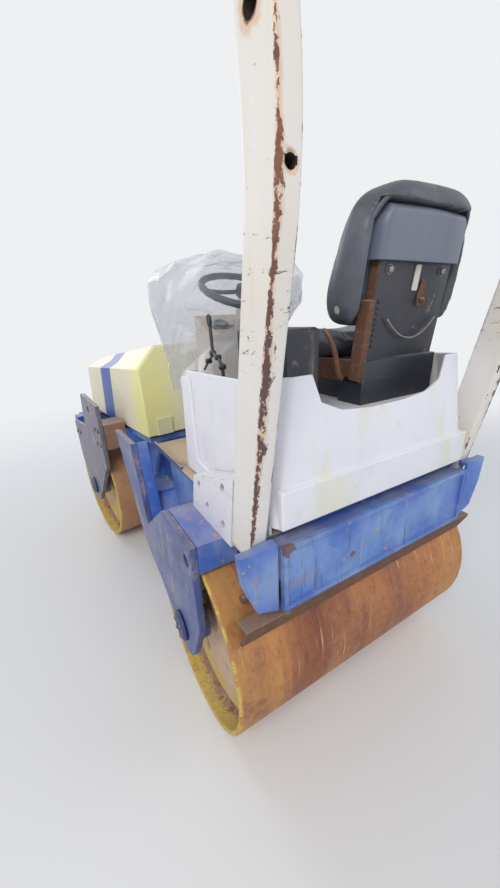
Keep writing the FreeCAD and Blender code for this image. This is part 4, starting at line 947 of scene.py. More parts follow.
class ROLLER_OT_stage(RollerOperator):
    """Camera, pale floor and soft studio light."""

    bl_idname = "roller.stage"
    bl_label = "Stage"

    def execute(self, context):
        self.camera(context)
        self.floor()
        self.world(context)
        for name, place, size, power, tint in (
                ("key", (-3.6, 3.4, 4.4), 3.0, 170, srgb(255, 250, 242)),
                ("fill", (-3.2, -3.8, 2.6), 3.5, 42, srgb(240, 246, 255)),
                ("back", (4.2, 1.2, 3.4), 3.0, 70, srgb(250, 250, 255))):
            context.scene.collection.objects.link(self.lamp(name, place, size, power, tint))
        context.scene.view_settings.view_transform = "Standard"
        return {"FINISHED"}

    def camera(self, context):
        """The photograph's viewpoint, turn, downward pitch, roll and lens."""
        yaw, pitch, roll = VIEW_TURN
        ahead = Vector((math.cos(pitch) * math.cos(yaw), math.cos(pitch) * math.sin(yaw),
                        -math.sin(pitch)))
        right = ahead.cross(Vector((0, 0, 1))).normalized()
        up = right.cross(ahead)
        level = math.cos(roll) * right - math.sin(roll) * up
        upright = math.sin(roll) * right + math.cos(roll) * up
        data = bpy.data.cameras.new("camera")
        data.sensor_fit = "AUTO"
        data.sensor_width = SENSOR
        data.lens = SENSOR * VIEW_FOCUS / VIEW_HEIGHT
        camera = bpy.data.objects.new("camera", data)
        context.scene.collection.objects.link(camera)
        turn = Matrix((level, upright, -ahead)).transposed()
        camera.matrix_world = Matrix.Translation(rear_place(VIEW_FROM)) @ turn.to_4x4()
        context.scene.camera = camera

    def floor(self):
        """A flat disc that fades to the backdrop far from the object."""
        ring = np.array([0.0, 2.0, 4.0, 8.0, 16.0, 40.0])
        rings = lathe(np.stack([0 * ring, np.maximum(ring, 0.001)], 1), (0, 0, 0), (0, 0, 1),
                      64)
        points, faces = ring_skin(rings)
        points = points[:-1]
        faces = [face for face in faces if max(face) < len(points)]
        disc = new_object("studio_floor", points, faces)
        face_towards(disc, (0, 0, 1))
        f = Finish("studio_floor")
        f.base = self.colours.floor
        disc.data.materials.append(f.done(0.9))
        glow = f.node("Emission", {"Color": BACKDROP})
        both = f.node("MixShader", {0: f.share(f.reach(f.place), 2.0, 5.2),
                                    1: f.shader.outputs[0], 2: glow.outputs[0]})
        feed(f.tree, f.out.inputs[0], both.outputs[0])

    def world(self, context):
        """Even sky light; the camera, glossy and see-through rays meet the pale backdrop."""
        world = bpy.data.worlds.new("studio")
        world.use_nodes = True
        tree = world.node_tree
        tree.nodes.clear()
        rays = add_node(tree, "LightPath").outputs
        seen = rays["Is Camera Ray"]
        for other in ("Is Transmission Ray", "Is Glossy Ray"):
            seen = add_node(tree, "Math", {0: seen, 1: rays[other]},
                            operation="MAXIMUM").outputs[0]
        light = add_node(tree, "Background", {"Color": SKY, "Strength": SKY_STRENGTH})
        backdrop = add_node(tree, "Background", {"Color": BACKDROP})
        choice = add_node(tree, "MixShader", {0: seen, 1: light.outputs[0],
                                              2: backdrop.outputs[0]})
        add_node(tree, "OutputWorld", {0: choice.outputs[0]})
        context.scene.world = world

    def lamp(self, name, place, size, power, tint):
        """A round lamp that looks at the middle of the machine."""
        data = bpy.data.lights.new(name, "AREA")
        data.shape = "DISK"
        data.size = size
        data.energy = power
        data.color = tint
        light = bpy.data.objects.new(name, data)
        light.location = place
        aim = Vector((0, 0, 0.8)) - light.location
        light.rotation_euler = aim.to_track_quat("-Z", "Y").to_euler()
        return light


class ROLLER_OT_rear_frame(RollerOperator):
    """Rear chassis, floor and its sand, panel, corners, scraper, side plates and the pin."""

    bl_idname = "roller.rear_frame"
    bl_label = "Rear frame"

    def execute(self, context):
        blue = self.paint("blue_plate")
        scraped = self.side_plate("arm_blue", srgb(72, 88, 144), srgb(118, 122, 152))
        for node, finish, slot in (
                ("rear_chassis", blue, "blue"), ("rear_platform", self.floor_finish(), "blue"),
                ("rear_panel", self.panel_finish(), "blue"), ("rear_corners", blue, "blue"),
                ("rear_scraper", self.rusty(), "rust"), ("rear_arm_left", scraped, "blue"),
                ("rear_arm_right", scraped, "blue"), ("pivot_pin", self.metal(), "steel")):
            dressed(node, finish, self.sizes.plate_edge)
        refinish_node("rear_spray_bar", self.rusty())
        self.sand_heap()
        return {"FINISHED"}

    def sand_heap(self):
        """Dry sand heaped on the floor beside the pedestal: a low dome times a ragged edge,
        with small waves on it."""
        x, y = np.meshgrid(np.linspace(-1, 1, 61), np.linspace(-1, 1, 41), indexing="ij")
        away = np.hypot(x, y) * (1 + 0.06 * waves(np.arctan2(y, x), 4, (3, 5, 8), 0.4))
        height = np.clip(1 - away ** 2, 0, 1) * (
            0.028 + 0.0015 * np.cos(5 * x + 3 * y) + 0.001 * np.cos(8 * y - 4 * x))
        top = np.stack([-0.345 + 0.155 * x, 0.315 + 0.07 * y, FLOOR + height - 0.001], -1)
        heap = new_object("sand_heap", rear_place(top).reshape(-1, 3),
                          grid_faces(61, 41).tolist())
        f = Finish("dry_sand")
        f.base = f.blend(f.noise(160, 4), self.colours.sand, srgb(172, 148, 120))
        f.bump(f.noise(220, 5, 0.7), 0.5, 0.002)
        settle(walled(heap, (0, 0, 1)), f.done(0.95), "rear_frame")

    def floor_finish(self):
        """Blue floor plate, buried in dry sand and worn brown along its edges."""
        c = self.colours

        def sand(f):
            grain = f.blend(f.noise(120, 4), c.sand, srgb(176, 150, 120))
            f.coat(grain, f.upward(), f.share(f.noise(6, 5, 0.65), 0.3, 0.5))

        return self.worn("floor_plate", c.blue, srgb(88, 92, 108), chips=0.9, dusting=0.5,
                         scratches=0.6, extra=sand)

    def panel_finish(self):
        """Blue rear panel: rust at its upper left corner, one rust spot, long scrapes and
        dark drips."""
        c = self.colours
        low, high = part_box("rear_panel")

        def marks(f):
            scrape = f.noise(20, 6, 0.72, stretch=(1, 0.06, 1), turn=(0.12, 0, 0))
            f.coat(srgb(142, 130, 142), f.share(scrape, 0.56, 0.63), 0.6)
            drips = f.noise(34, 5, 0.7, stretch=(1, 1, 0.08))
            f.coat(srgb(64, 70, 110), f.share(drips, 0.6, 0.66), 0.55)
            corner = f.near((low.x, high.y - 0.012, high.z - 0.006), 0.022, 0.6)
            spot = f.near((low.x, high.y - 0.23, 0.68), 0.012, 0.4)
            f.coat(c.rust, f.most(corner, spot), 0.85)

        return self.worn("panel_blue", srgb(66, 106, 186), srgb(118, 150, 202), chips=0.7,
                         dusting=0.2, scratches=0.8, extra=marks)


class ROLLER_OT_drums(RollerOperator):
    """Both drums: shells, recessed ends and hub covers with their bolts."""

    bl_idname = "roller.drums"
    bl_label = "Drums"

    def execute(self, context):
        self.one("rear", -AXLE_X, rear_place, 0.0, 0.0, 0.29)
        self.one("front", AXLE_X, front_place, -PARKED, 0.3, 0.1)
        return {"FINISHED"}

    def one(self, half, axle_x, place, turn, dusty, paint_from):
        """One drum, turned by an angle, with a share of dust on its shell and paint left on
        its ends beyond a radius."""
        body = half + "_drum"
        centre = place((axle_x, 0, DRUM_R))
        axis = place((axle_x, 1, DRUM_R)) - centre
        axle = tuple(centre)
        w, r = DRUM_HALF, DRUM_R
        ring = softened([(-w, r - SHELL_T), (-w, r), (w, r), (w, r - SHELL_T)],
                        self.sizes.drum_edge, 3)
        skin = ring_skin(lathe(ring, centre, axis, 192), capped=False)
        shell = formed(half + "_drum_skin", [skin],
                       drum_skin(half + "_drum_rust", self.colours, turn, axle, dusty),
                       body, (half + "_drum_shell",))

        def radius(places):
            return np.linalg.norm(np.cross(places - centre, axis), axis=1)

        inside = radius(points_of(shell)).max() - SHELL_T * 0.7
        refinish(shell, inside_finish(half + "_drum_inside", self.colours, axle, turn),
                 lambda places: radius(places) < inside)
        skins = [ring_skin(lathe(self.end_profile() * (side, 1), centre, axis, 96))
                 for side in (1, -1)]
        finish = end_finish(half + "_end_dust", self.colours, axle, paint_from)
        formed(half + "_drum_end_plates", skins, finish, body,
               (half + "_drum_ends",))
        self.caps(half, axle_x, place, centre, axis)

    def end_profile(self):
        """Journal, hub, weld and plate of one end, from the outside in."""
        return softened([(0.526, 0.03), (0.435, 0.03), (0.435, 0.07), (0.425, 0.076),
                         (0.425, 0.2), (0.421, 0.24), (0.425, 0.3), (0.433, 0.3235),
                         (0.413, 0.3235), (0.413, 0.03)], 0.004, 2, closed=False)

    def caps(self, half, axle_x, place, centre, axis):
        """Round hub covers with a domed middle and a ring of bolts."""
        profile = softened([(0.53, CAP_R), (CAP_FACE - 0.005, CAP_R),
                            (CAP_FACE, CAP_R - 0.005), (CAP_FACE, 0.018),
                            (CAP_FACE + 0.003, 0.014), (CAP_FACE + 0.004, 0.004)],
                           0.002, 2, closed=False)
        angle = np.radians(np.arange(6) * 60 + 15)
        reach = CAP_R - 0.016
        skins, places, ways = [], [], []
        for side in (1, -1):
            skins.append(ring_skin(lathe(profile * (side, 1), centre, axis, 48)))
            places += np.stack([axle_x + reach * np.cos(angle), 0 * angle + side * CAP_FACE,
                                DRUM_R + reach * np.sin(angle)], 1).tolist()
            ways += [(0, side, 0)] * 6
        body = half + "_frame"
        navy = self.worn(half + "_hub_blue", srgb(46, 62, 112), srgb(60, 72, 118), chips=0.6)
        formed(half + "_hub_covers", skins, navy, body, (half + "_hub_caps",))
        self.bolts(half + "_hub_bolts", places, ways, body, place, size=0.013)


class ROLLER_OT_body(RollerOperator):
    """White body round the operator, with the raised borders of its sides."""

    bl_idname = "roller.white_body"
    bl_label = "White body"

    def execute(self, context):
        white = self.paint("white_body")
        dressed("tub", white, self.sizes.body_edge)
        outline = softened([(-0.503, 0.81), (-0.532, 1.13), (-0.588, 1.13), (-0.597, 0.862),
                            (-0.71, 0.85), (-0.80, 0.89), (-0.83, 0.89), (-0.83, 0.81)],
                           0.008, 3)
        skins = [plate_skin(rear_place(plate_rings(
            outline, (0, side * TUB_SIDE, 0), (1, 0, 0), (0, 0, 1), (0, side * 0.011, 0))))
            for side in (1, -1)]
        formed("body_borders", skins, white, edge=0.004)
        return {"FINISHED"}


def post_holes(side):
    """Place on the skin, way out and radius of each hole of the roll-over post on a side."""
    for (x, z), radius, face in POST_HOLES:
        if face == "side":
            yield np.array((x, side * POST_Y[1], z)), np.array((0, side, 0)), radius
        else:
            place = (x - POST_DEPTH / 2, side * POST_MIDDLE, z)
            yield np.array(place), np.array((-1, 0, 0)), radius


class ROLLER_OT_rollover(RollerOperator):
    """Roll-over frame: bent tubes with rounded corners, crossbar and slotted feet."""

    bl_idname = "roller.rollover"
    bl_label = "Roll-over frame"

    def execute(self, context):
        holes = [(tuple(rear_place(place)), radius) for side in (1, -1)
                 for place, _, radius in post_holes(side)]
        finish = post_finish("post_paint", self.colours, holes)
        for side, name in ((1, "left"), (-1, "right")):
            self.post(side, name, finish)
        dressed("rops_crossbar", finish, 0.007)
        dressed("rops_feet", self.paint("white_plate"), 0.002)
        return {"FINISHED"}

    def post(self, side, name, finish):
        """Level rounded rectangles up the post. Their middle follows the foot, bend and top,
        and each corner of that line is eased over a hand's breadth."""
        line = softened(POST_LINE, 0.12, 10, closed=False)
        z = np.linspace(POST_LINE[0][1], POST_LINE[-1][1], 150)
        x = np.interp(z, line[:, 1], line[:, 0])
        half_w, half_d = (POST_Y[1] - POST_Y[0]) / 2, POST_DEPTH / 2
        section = self.divided(oblong(half_d, half_w, self.sizes.post_corner, 4))
        rings = np.empty((len(z), len(section), 3))
        rings[..., 0] = x[:, None] + section[None, :, 0]
        rings[..., 1] = side * (POST_MIDDLE + section[None, :, 1])
        rings[..., 2] = z[:, None]
        post = new_object("post_" + name, *ring_skin(rear_place(rings)))
        self.drill(post, side)
        self.mark(post, side, z, x)
        settle(post, finish, "rear_frame", ("rops_post_" + name,))
        # The holes' walls get a near-black finish: painted shade for the tube's dark inside
        refinish(post, self.dark(), self.inside_holes(side))
        soft_edges(post, 0)

    def divided(self, section):
        """The same outline with more points along its long sides."""
        around = np.vstack([section, section[:1]])
        steps = np.linalg.norm(np.diff(around, axis=0), axis=1)
        far = np.concatenate([[0], np.cumsum(steps)])
        extra = np.linspace(0, far[-1], 96, endpoint=False)
        where = np.unique(np.round(np.concatenate([far[:-1], extra]), 5))
        return np.stack([np.interp(where, far, around[:, k]) for k in (0, 1)], 1)

    def drill(self, post, side):
        """Round holes in the outer side and the rear face."""
        skins = [ring_skin(lathe([(-0.03, radius), (0.02, radius)], rear_place(place), way, 24))
                 for place, way, radius in post_holes(side)]
        tool = new_object("drill", *joined(skins))
        hole = post.modifiers.new("holes", "BOOLEAN")
        hole.operation = "DIFFERENCE"
        hole.solver = "EXACT"
        hole.object = tool
        applied(post)
        bpy.data.objects.remove(tool)

    def mark(self, post, side, z, x):
        """Nearness of each point to the tube's corners, and to the split beside its outer
        rear corner, whose width changes with height."""
        p = points_of(post)
        depth = p[:, 0] - PIN.x - np.interp(p[:, 2], z, x) + POST_DEPTH / 2
        across = POST_Y[1] - side * (p[:, 1] - PIN.y)
        from_edge = np.maximum(np.minimum(depth, POST_DEPTH - depth),
                               np.minimum(across, POST_Y[1] - POST_Y[0] - across))
        point_values(post, "corner", 1 - smooth_share(from_edge, 0.002, 0.014))
        point_values(post, "rear", 1 - smooth_share(depth, 0.002, 0.006))
        width = np.interp(p[:, 2], *np.array(SPLIT_WIDTHS).T)
        away = np.maximum(2.2 * depth, across)
        point_values(post, "split", np.clip(1 - away / width, -1, 1))

    def inside_holes(self, side):
        """A test for the faces of the holes' walls, under the tube's skin."""
        skin = 0.0015

        def chosen(places):
            places = places - rear_place((0, 0, 0))
            found = np.zeros(len(places), bool)
            for place, way, radius in post_holes(side):
                along = (places - place) @ way
                away = np.linalg.norm(places - place - along[:, None] * way, axis=1)
                found |= (along < -skin) & (away < 1.03 * radius)
            return found & (side * places[:, 1] > POST_Y[0] + skin)

        return chosen


class ROLLER_OT_chair(RollerOperator):
    """Operator's chair: swelled pads with sewn channels, hard back cover, steel frame."""

    bl_idname = "roller.chair"
    bl_label = "Chair"

    def execute(self, context):
        tear = tuple(rear_place((-0.86, 0.045, 1.30)))
        vinyl = vinyl_finish("vinyl", self.colours.vinyl, tear)
        self.cushion(vinyl)
        self.back(vinyl)
        self.cover()
        self.frame()
        return {"FINISHED"}

    def leaned(self, points):
        """Points measured from the back's foot as if it stood upright, leaned with it as in
        the CAD."""
        x, y, z = np.moveaxis(np.asarray(points, float), -1, 0)
        c, s = math.cos(BACK_LEAN), math.sin(BACK_LEAN)
        return BACK_FOOT + np.stack([c * x - s * z, y, s * x + c * z], -1)

    def leaned_plate(self, rings):
        """The skin of a plate on the chair's leaning back."""
        return plate_skin(rear_place(self.leaned(rings)))

    def pad(self, name, points, faces, keep, sew, node, finish):
        """Swells a closed form, sews its channels and keeps it off its neighbours."""
        pad = new_object(name, points, faces)
        swell(pad, self.sizes.pad_voxel, self.sizes.pad_swell, self.sizes.pad_frames)
        smooth = pad.modifiers.new("even", "SMOOTH")
        smooth.factor, smooth.iterations = 0.5, 4
        finer = pad.modifiers.new("finer", "SUBSURF")
        finer.levels = finer.render_levels = 1
        applied(pad)
        move_points(pad, keep(sew(points_of(pad))))
        pad.data.shade_smooth()
        settle(pad, finish, "rear_frame", (node,))

    def cushion(self, finish):
        """Level superellipses whose size falls off towards the top and bottom; the middle
        dips and the front rolls over."""
        low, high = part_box("chair_cushion")
        middle, half = (np.array(low) + high) / 2, (np.array(high) - low) / 2 - 0.012
        v = np.linspace(-1, 1, 25)[:, None]
        angle = np.linspace(0, 2 * math.pi, 96, endpoint=False)[None]
        size = bulge(v, 3.2)
        x = size * half[0] * blunt(np.cos(angle), 0.35)
        y = size * half[1] * blunt(np.sin(angle), 0.35)
        bolster = smooth_share(np.abs(y) / half[1], 0.5, 0.85) * 0.016
        nose = smooth_share(x / half[0], 0.55, 1.0) * 0.02
        z = v * half[2] + np.maximum(v, 0) * (bolster - 0.014 - nose)
        rings = middle + np.stack(np.broadcast_arrays(x, y, z), -1)

        def sew(p):
            depth = self.sizes.seam_depth
            top = smooth_share(p[:, 2], middle[2], middle[2] + 0.02)
            for line in (-0.62, 0.62):
                away = p[:, 1] - middle[1] - line * half[1]
                p[:, 2] -= top * depth * channel(away)
            for line in (-0.3, 0.25):
                away = p[:, 0] - middle[0] - line * half[0]
                inside = smooth_share(-np.abs(p[:, 1] - middle[1]), -0.66 * half[1],
                                      -0.6 * half[1])
                p[:, 2] -= top * inside * depth * channel(away)
            return p

        def keep(p):
            p[:, 2] = np.maximum(p[:, 2], low.z + 0.0005)
            p[:, 0] = np.maximum(p[:, 0], low.x)
            return p

        self.pad("cushion_pad", *ring_skin(rings), keep, sew, "chair_cushion", finish)

    def back(self, finish):
        """Upright form of level rings: a rounded block with bolsters in front and a pocket
        behind for the frame, narrowing to a rounded top and lower corners."""
        bottom, top = 0.045, 0.398
        v = np.linspace(-1, 1, 49)[:, None]
        angle = np.linspace(0, 2 * math.pi, 120, endpoint=False)[None]
        size = bulge(v, np.where(v > 0, 3.6, 5.0))
        y = size * CHAIR_HALF * blunt(np.sin(angle), 0.45)
        side = blunt(np.cos(angle), 0.55)
        bolster = smooth_share(np.abs(y) / CHAIR_HALF, 0.4, 0.85)
        lumbar = smooth_share(-v, -1.0, 0.6)
        front = 0.028 + 0.026 * bolster + (0.022 + 0.030 * bolster) * lumbar
        over = smooth_share(v, 0.66, 0.74)
        rear = 0.038 + 0.030 * over
        x = 0.036 + (0.45 + 0.55 * size) * np.where(side > 0, side * front, side * rear)
        pocket = smooth_share(-np.abs(y), -0.196, -0.176) * (1 - over)
        x = np.where(side < 0, x + pocket * np.maximum(0, 0.046 - x), x)
        z = bottom + (top - bottom) * (v + 1) / 2 + 0 * angle
        rings = rear_place(self.leaned(np.stack(np.broadcast_arrays(x, y, z), -1)))

        def flat(p):
            """Back to the upright chair: depth from the back plane, place across, height."""
            x, y, z = (p - rear_place(BACK_FOOT)).T
            c, s = math.cos(BACK_LEAN), math.sin(BACK_LEAN)
            return c * x + s * z, y, -s * x + c * z

        def push(p, depth):
            """Moves points forwards by a depth, square to the back plane."""
            p[:, 0] += depth * math.cos(BACK_LEAN)
            p[:, 2] += depth * math.sin(BACK_LEAN)
            return p

        def sew(p):
            deep, across, rise = flat(p)
            front = smooth_share(deep, 0.045, 0.06)
            depth = 0 * deep
            for line in (-0.125, 0.125):
                depth -= front * self.sizes.seam_depth * channel(across - line)
            inside = smooth_share(-np.abs(across), -0.13, -0.12)
            for line in (0.15, 0.24):
                depth -= front * inside * self.sizes.seam_depth * channel(rise - line)
            return push(p, depth)

        def keep(p):
            deep, across, rise = flat(p)
            behind = (np.abs(across) < 0.178) & (rise < 0.354)
            return push(p, np.where(behind, np.maximum(0, 0.0325 - deep), 0))

        self.pad("back_pad", *ring_skin(rings), keep, sew, "chair_back", finish)
        self.back_piping(finish)

    def back_piping(self, finish):
        """A cord sewn round the back pad's rear edge: it climbs both sides and turns back
        over the cover."""
        outline = [(0.186, 0.085, 0.030), (0.205, 0.16, 0.038), (0.206, 0.27, 0.026),
                   (0.160, 0.376, -0.010)]
        outline = np.array(outline + [(-y, z, x) for y, z, x in reversed(outline)])
        line = softened(outline, 0.07, 12, closed=False)
        path = rear_place(self.leaned(line[:, [2, 0, 1]]))
        rings = tube(path, self.sizes.piping, 10, (1, 0, 0))
        cord = new_object("back_piping", *ring_skin(rings))
        settle(cord, finish, "rear_frame")

    def cover(self):
        """Hard cover: a crowned sheet whose sides and top roll forwards. Its depth is a
        shallow dome, plus a quarter round within a roll's width of its edges."""
        s = np.linspace(-1, 1, 61)[None, :]
        t = np.linspace(0, 1, 41)[:, None]
        half, rise, roll = 0.1715, 0.121, 0.020
        width = half * (1 - 0.10 * smooth_share(t, 0.55, 1.0) ** 2)
        y = s * width
        z = 0.2275 + t * rise + 0.004 * (1 - s ** 2) * t
        from_side = width * (1 - np.abs(s))
        from_top = (1 - t) * rise
        edge = np.clip(1 - np.minimum(from_side, from_top) / roll, 0, 1)
        depth = -0.0145 - 0.006 * (1 - s ** 2) + (1 - np.sqrt(1 - edge ** 2)) * 0.040
        points = rear_place(self.leaned(np.stack(np.broadcast_arrays(depth, y, z), -1)))
        cover = new_object("back_cover", points.reshape(-1, 3), grid_faces(41, 61).tolist())
        soft_edges(walled(cover, (-1, 0, 0)), 0)
        settle(cover, moulded_finish("back_cover", self.colours.shell), "rear_frame",
               ("chair_cover",))

    def frame(self):
        """Black steel frame, its rusty side bracket, and the small things behind it."""
        black, rusty = self.paint("black_steel"), self.rusty()
        steel = dressed("chair_frame", black, self.sizes.plate_edge)
        bracket = rear_place(BACK_FOOT)[1] + 0.149
        refinish(steel, rusty, lambda p: p[:, 1] > bracket)
        spots = np.array([(0, -0.11, 0.208), (0, 0.11, 0.208), (0, 0.11, -0.035),
                          (0, -0.11, -0.035)])
        places = self.leaned(spots)
        ways = self.leaned(spots - (1, 0, 0)) - places
        self.bolts("chair_bolts", places, ways, "rear_frame", size=0.02)
        self.apron(black)
        self.strap(rusty)
        self.wire()
        self.lever(rusty)

    def apron(self, black):
        """Plate that closes the chair's mounting behind, with turned-in ends."""
        x, half, low, high, wall = BACK_FOOT[0] - 0.006, 0.161, 1.032, 1.118, 0.004
        outline = [(x + 0.09, half), (x, half), (x, -half), (x + 0.09, -half),
                   (x + 0.09, wall - half), (x + wall, wall - half), (x + wall, half - wall),
                   (x + 0.09, half - wall)]
        rings = plate_rings(outline, (0, BACK_FOOT[1], low), (1, 0, 0), (0, 1, 0),
                            (0, 0, high - low))
        formed("chair_apron", [plate_skin(rear_place(rings))], black, edge=0.0015)

    def strap(self, rusty):
        """Pale strap, rusty catch and a rack of slots on the back plate."""
        pale = moulded_finish("strap", srgb(196, 190, 182))
        rings = plate_rings(softened([(-0.011, 0.158), (0.011, 0.158), (0.011, 0.222),
                                      (-0.011, 0.222)], 0.002, 2),
                            (0, -0.002, 0), (0, 1, 0), (0, 0, 1), (-0.004, 0, 0))
        formed("chair_strap", [self.leaned_plate(rings)], pale, edge=0.0012)
        rings = plate_rings(softened([(-0.012, 0.118), (0.010, 0.118), (0.012, 0.15),
                                      (0.004, 0.186), (-0.012, 0.186)], 0.004, 2),
                            (0, -0.033, 0), (0, 1, 0), (0, 0, 1), (-0.006, 0, 0))
        knob = lathe([(0, 0.007), (0.01, 0.007), (0.014, 0.004)], (-0.006, -0.033, 0.135),
                     (-1, 0, 0), 20)
        skins = [self.leaned_plate(rings), ring_skin(rear_place(self.leaned(knob)))]
        formed("chair_catch", skins, rusty, edge=0.0015)
        tooth = [(-0.006, -0.003), (0.006, -0.003), (0.006, 0.003), (-0.006, 0.003)]
        skins = []
        for i in range(9):
            rings = plate_rings(tooth, (0, 0.128, 0.13 - 0.014 * i), (0, 1, 0), (0, 0, 1),
                                (-0.003, 0, 0))
            skins.append(self.leaned_plate(rings))
        formed("chair_rack", skins, self.paint("black_steel"), edge=0.001)

    def wire(self):
        """A bowed bare wire across the back plate: a parabola between its two hooks."""
        t = np.linspace(-1, 1, 41)
        bow = 1 - t ** 2
        path = np.stack([-0.008 - 0.006 * bow, -0.01 - t * 0.105, 0.088 - 0.054 * bow], -1)
        rings = tube(rear_place(self.leaned(path)), 0.003, 8, (1, 0, 0))
        wire = new_object("chair_wire", *ring_skin(rings))
        settle(wire, self.metal(), "rear_frame")

    def lever(self, rusty):
        """Rusty lock lever beside the pan: a bent bar that tapers up to its hook."""
        line = softened([(-0.86, 0.018, 1.118), (-0.875, 0.05, 1.13), (-0.87, 0.056, 1.19),
                         (-0.845, 0.06, 1.235), (-0.815, 0.05, 1.25)], 0.03, 6, closed=False)
        size = np.linspace(0.009, 0.006, len(line))
        bar = new_object("chair_lever", *ring_skin(tube(rear_place(line), size, 10,
                                                        (0, 1, 0))))
        settle(bar, rusty, "rear_frame")


class ROLLER_OT_controls(RollerOperator):
    """Lever box and its lever, parking lever, steering pedestal and wheel."""

    bl_idname = "roller.controls"
    bl_label = "Controls"

    def execute(self, context):
        black = self.paint("black_steel")
        box = dressed("lever_console", black, 0.006)
        self.shortened(box)
        self.hand_levers(black)
        dressed("steering_console", self.paint("beige_shell"), 0.006)
        self.gauge_panel()
        self.wheel()
        self.box_trim()
        return {"FINISHED"}

    def shortened(self, box):
        """Draws the box's front end back, since the photograph shows none of it ahead of
        the post."""
        p = points_of(box)
        high = p[:, 0].max()
        p[:, 0] -= 0.075 * smooth_share(p[:, 0], high - 0.08, high - 0.02)
        move_points(box, p)

    def hand_levers(self, black):
        """Two jointed hand levers: flat links with round eyes on one foot."""
        low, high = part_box("hand_lever")
        foot = Vector(((low.x + high.x) / 2, (low.y + high.y) / 2, low.z)) - PIN
        joints = np.array([(foot.x, foot.y, low.z), (-0.700, 0.318, 1.165),
                           (-0.662, 0.312, 1.188), (-0.612, 0.304, 1.196),
                           (-0.598, 0.300, 1.272)])
        branch = np.array([(-0.612, 0.304, 1.190), (-0.575, 0.303, 1.170),
                           (-0.535, 0.302, 1.140)])
        skins = []
        for line, radius in ((joints, 0.005), (branch, 0.0035)):
            path = softened(line, 0.012, 4, closed=False)
            skins.append(ring_skin(tube(rear_place(path), radius, 10, (0, 1, 0))))
        for eye in (*joints[1:4], branch[1]):
            skins.append(ring_skin(lathe([(-0.008, 0.008), (0.008, 0.008)],
                                         rear_place(eye), (0, 1, 0), 18)))
        knob = [(0, 0.006), (0.012, 0.008), (0.028, 0.0075), (0.034, 0.003)]
        skins.append(ring_skin(lathe(knob, rear_place(joints[-1]), (0.2, 0, 1), 18)))
        rings = plate_rings(oblong(0.034, 0.013, 0.008, 3), (foot.x, foot.y, low.z), (1, 0, 0),
                            (0, 1, 0), (0, 0, 0.012))
        skins.append(plate_skin(rear_place(rings)))
        formed("hand_levers", skins, black, replaces=("hand_lever",))

    def gauge_panel(self):
        """Dark instrument plate with two blank dials on the pedestal's sloping top."""
        a = np.array([-0.345, 0, 1.24])
        b = np.array([-0.205, 0, 1.298])
        up = (b - a) / np.linalg.norm(b - a)
        out = np.cross((0, -1, 0), up)
        out = out if out[2] > 0 else -out
        origin = (a + b) / 2 + np.array([0, 0.06, 0]) + out * 0.0005
        rings = plate_rings(oblong(0.095, 0.045, 0.008, 4), origin, (0, 1, 0), up, out * 0.004)
        formed("gauge_plate", [plate_skin(rear_place(rings))], self.paint("black_steel"),
               edge=0.001)
        profile = [(0, 0.028), (0.008, 0.028), (0.008, 0.024), (0.004, 0.023), (0.0045, 0.004)]
        skins = []
        for y in (-0.045, 0.045):
            centre = rear_place(origin + np.array([0, y, 0]) + out * 0.004)
            skins.append(ring_skin(lathe(profile, centre, out, 32)))
        formed("gauges", skins, self.metal())

    def wheel(self):
        """Steering wheel: a ring of round section with finger scallops beneath, three flat
        spokes and a domed hub, tilted towards the operator."""
        turn, angle = np.meshgrid(np.linspace(0, 2 * math.pi, 96, endpoint=False),
                                  np.linspace(0, 2 * math.pi, 16, endpoint=False),
                                  indexing="ij")
        middle = WHEEL_R - 0.013
        thick = 0.0125 - 0.0012 * (0.5 + 0.5 * np.cos(24 * turn)) * (np.sin(angle) < 0)
        reach = middle + thick * np.cos(angle)
        rim = np.stack([reach * np.cos(turn), reach * np.sin(turn), thick * np.sin(angle)],
                       -1)
        skins = [ring_skin(rim, capped=False)]
        for k in range(3):
            way = math.radians(90 + 120 * k)
            t = np.linspace(0.02, middle, 12)
            line = np.stack([t * math.cos(way), t * math.sin(way), -0.006 * np.sin(
                np.pi * t / middle)], -1)
            skins.append(ring_skin(tube(line, 0.0075, 12)))
        hub = softened([(-0.02, 0.03), (0.012, 0.034), (0.02, 0.026), (0.022, 0.004)], 0.006,
                       3, closed=False)
        skins.append(ring_skin(lathe(hub, (0, 0, 0), (0, 0, 1), 40)))
        points, faces = joined(skins)
        c, s = math.cos(WHEEL_TILT), math.sin(WHEEL_TILT)
        x, y, z = points.T
        tilted = np.stack([c * x - s * z, y, s * x + c * z], -1) + WHEEL_AT
        finish = moulded_finish("wheel_black", srgb(38, 38, 42), 0.3)
        formed("wheel_rim", [(rear_place(tilted), faces)], finish,
               replaces=("steering_wheel",))

    def box_trim(self):
        """Rubber boot round the travel lever, and its ribbed knob, over the CAD's own."""
        low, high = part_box("lever_console")
        x, y = (low.x + high.x) / 2, (low.y + high.y) / 2
        top = 1.262
        t = np.linspace(0, 1, 25)
        ribs = 0.03 - 0.018 * t + 0.003 * np.cos(8 * math.pi * t)
        boot = ring_skin(lathe(np.stack([t * 0.05, ribs], 1), (x, y, top), (0, 0, 1), 32))
        knob = softened([(0.125, 0.009), (0.13, 0.013), (0.158, 0.0195), (0.172, 0.012),
                         (0.174, 0.003)], 0.008, 3, closed=False)
        head = ring_skin(lathe(knob, (x, y, top - 0.008), (0, 0, 1), 32))
        formed("lever_trim", [boot, head], moulded_finish("rubber", srgb(30, 30, 33), 0.2))


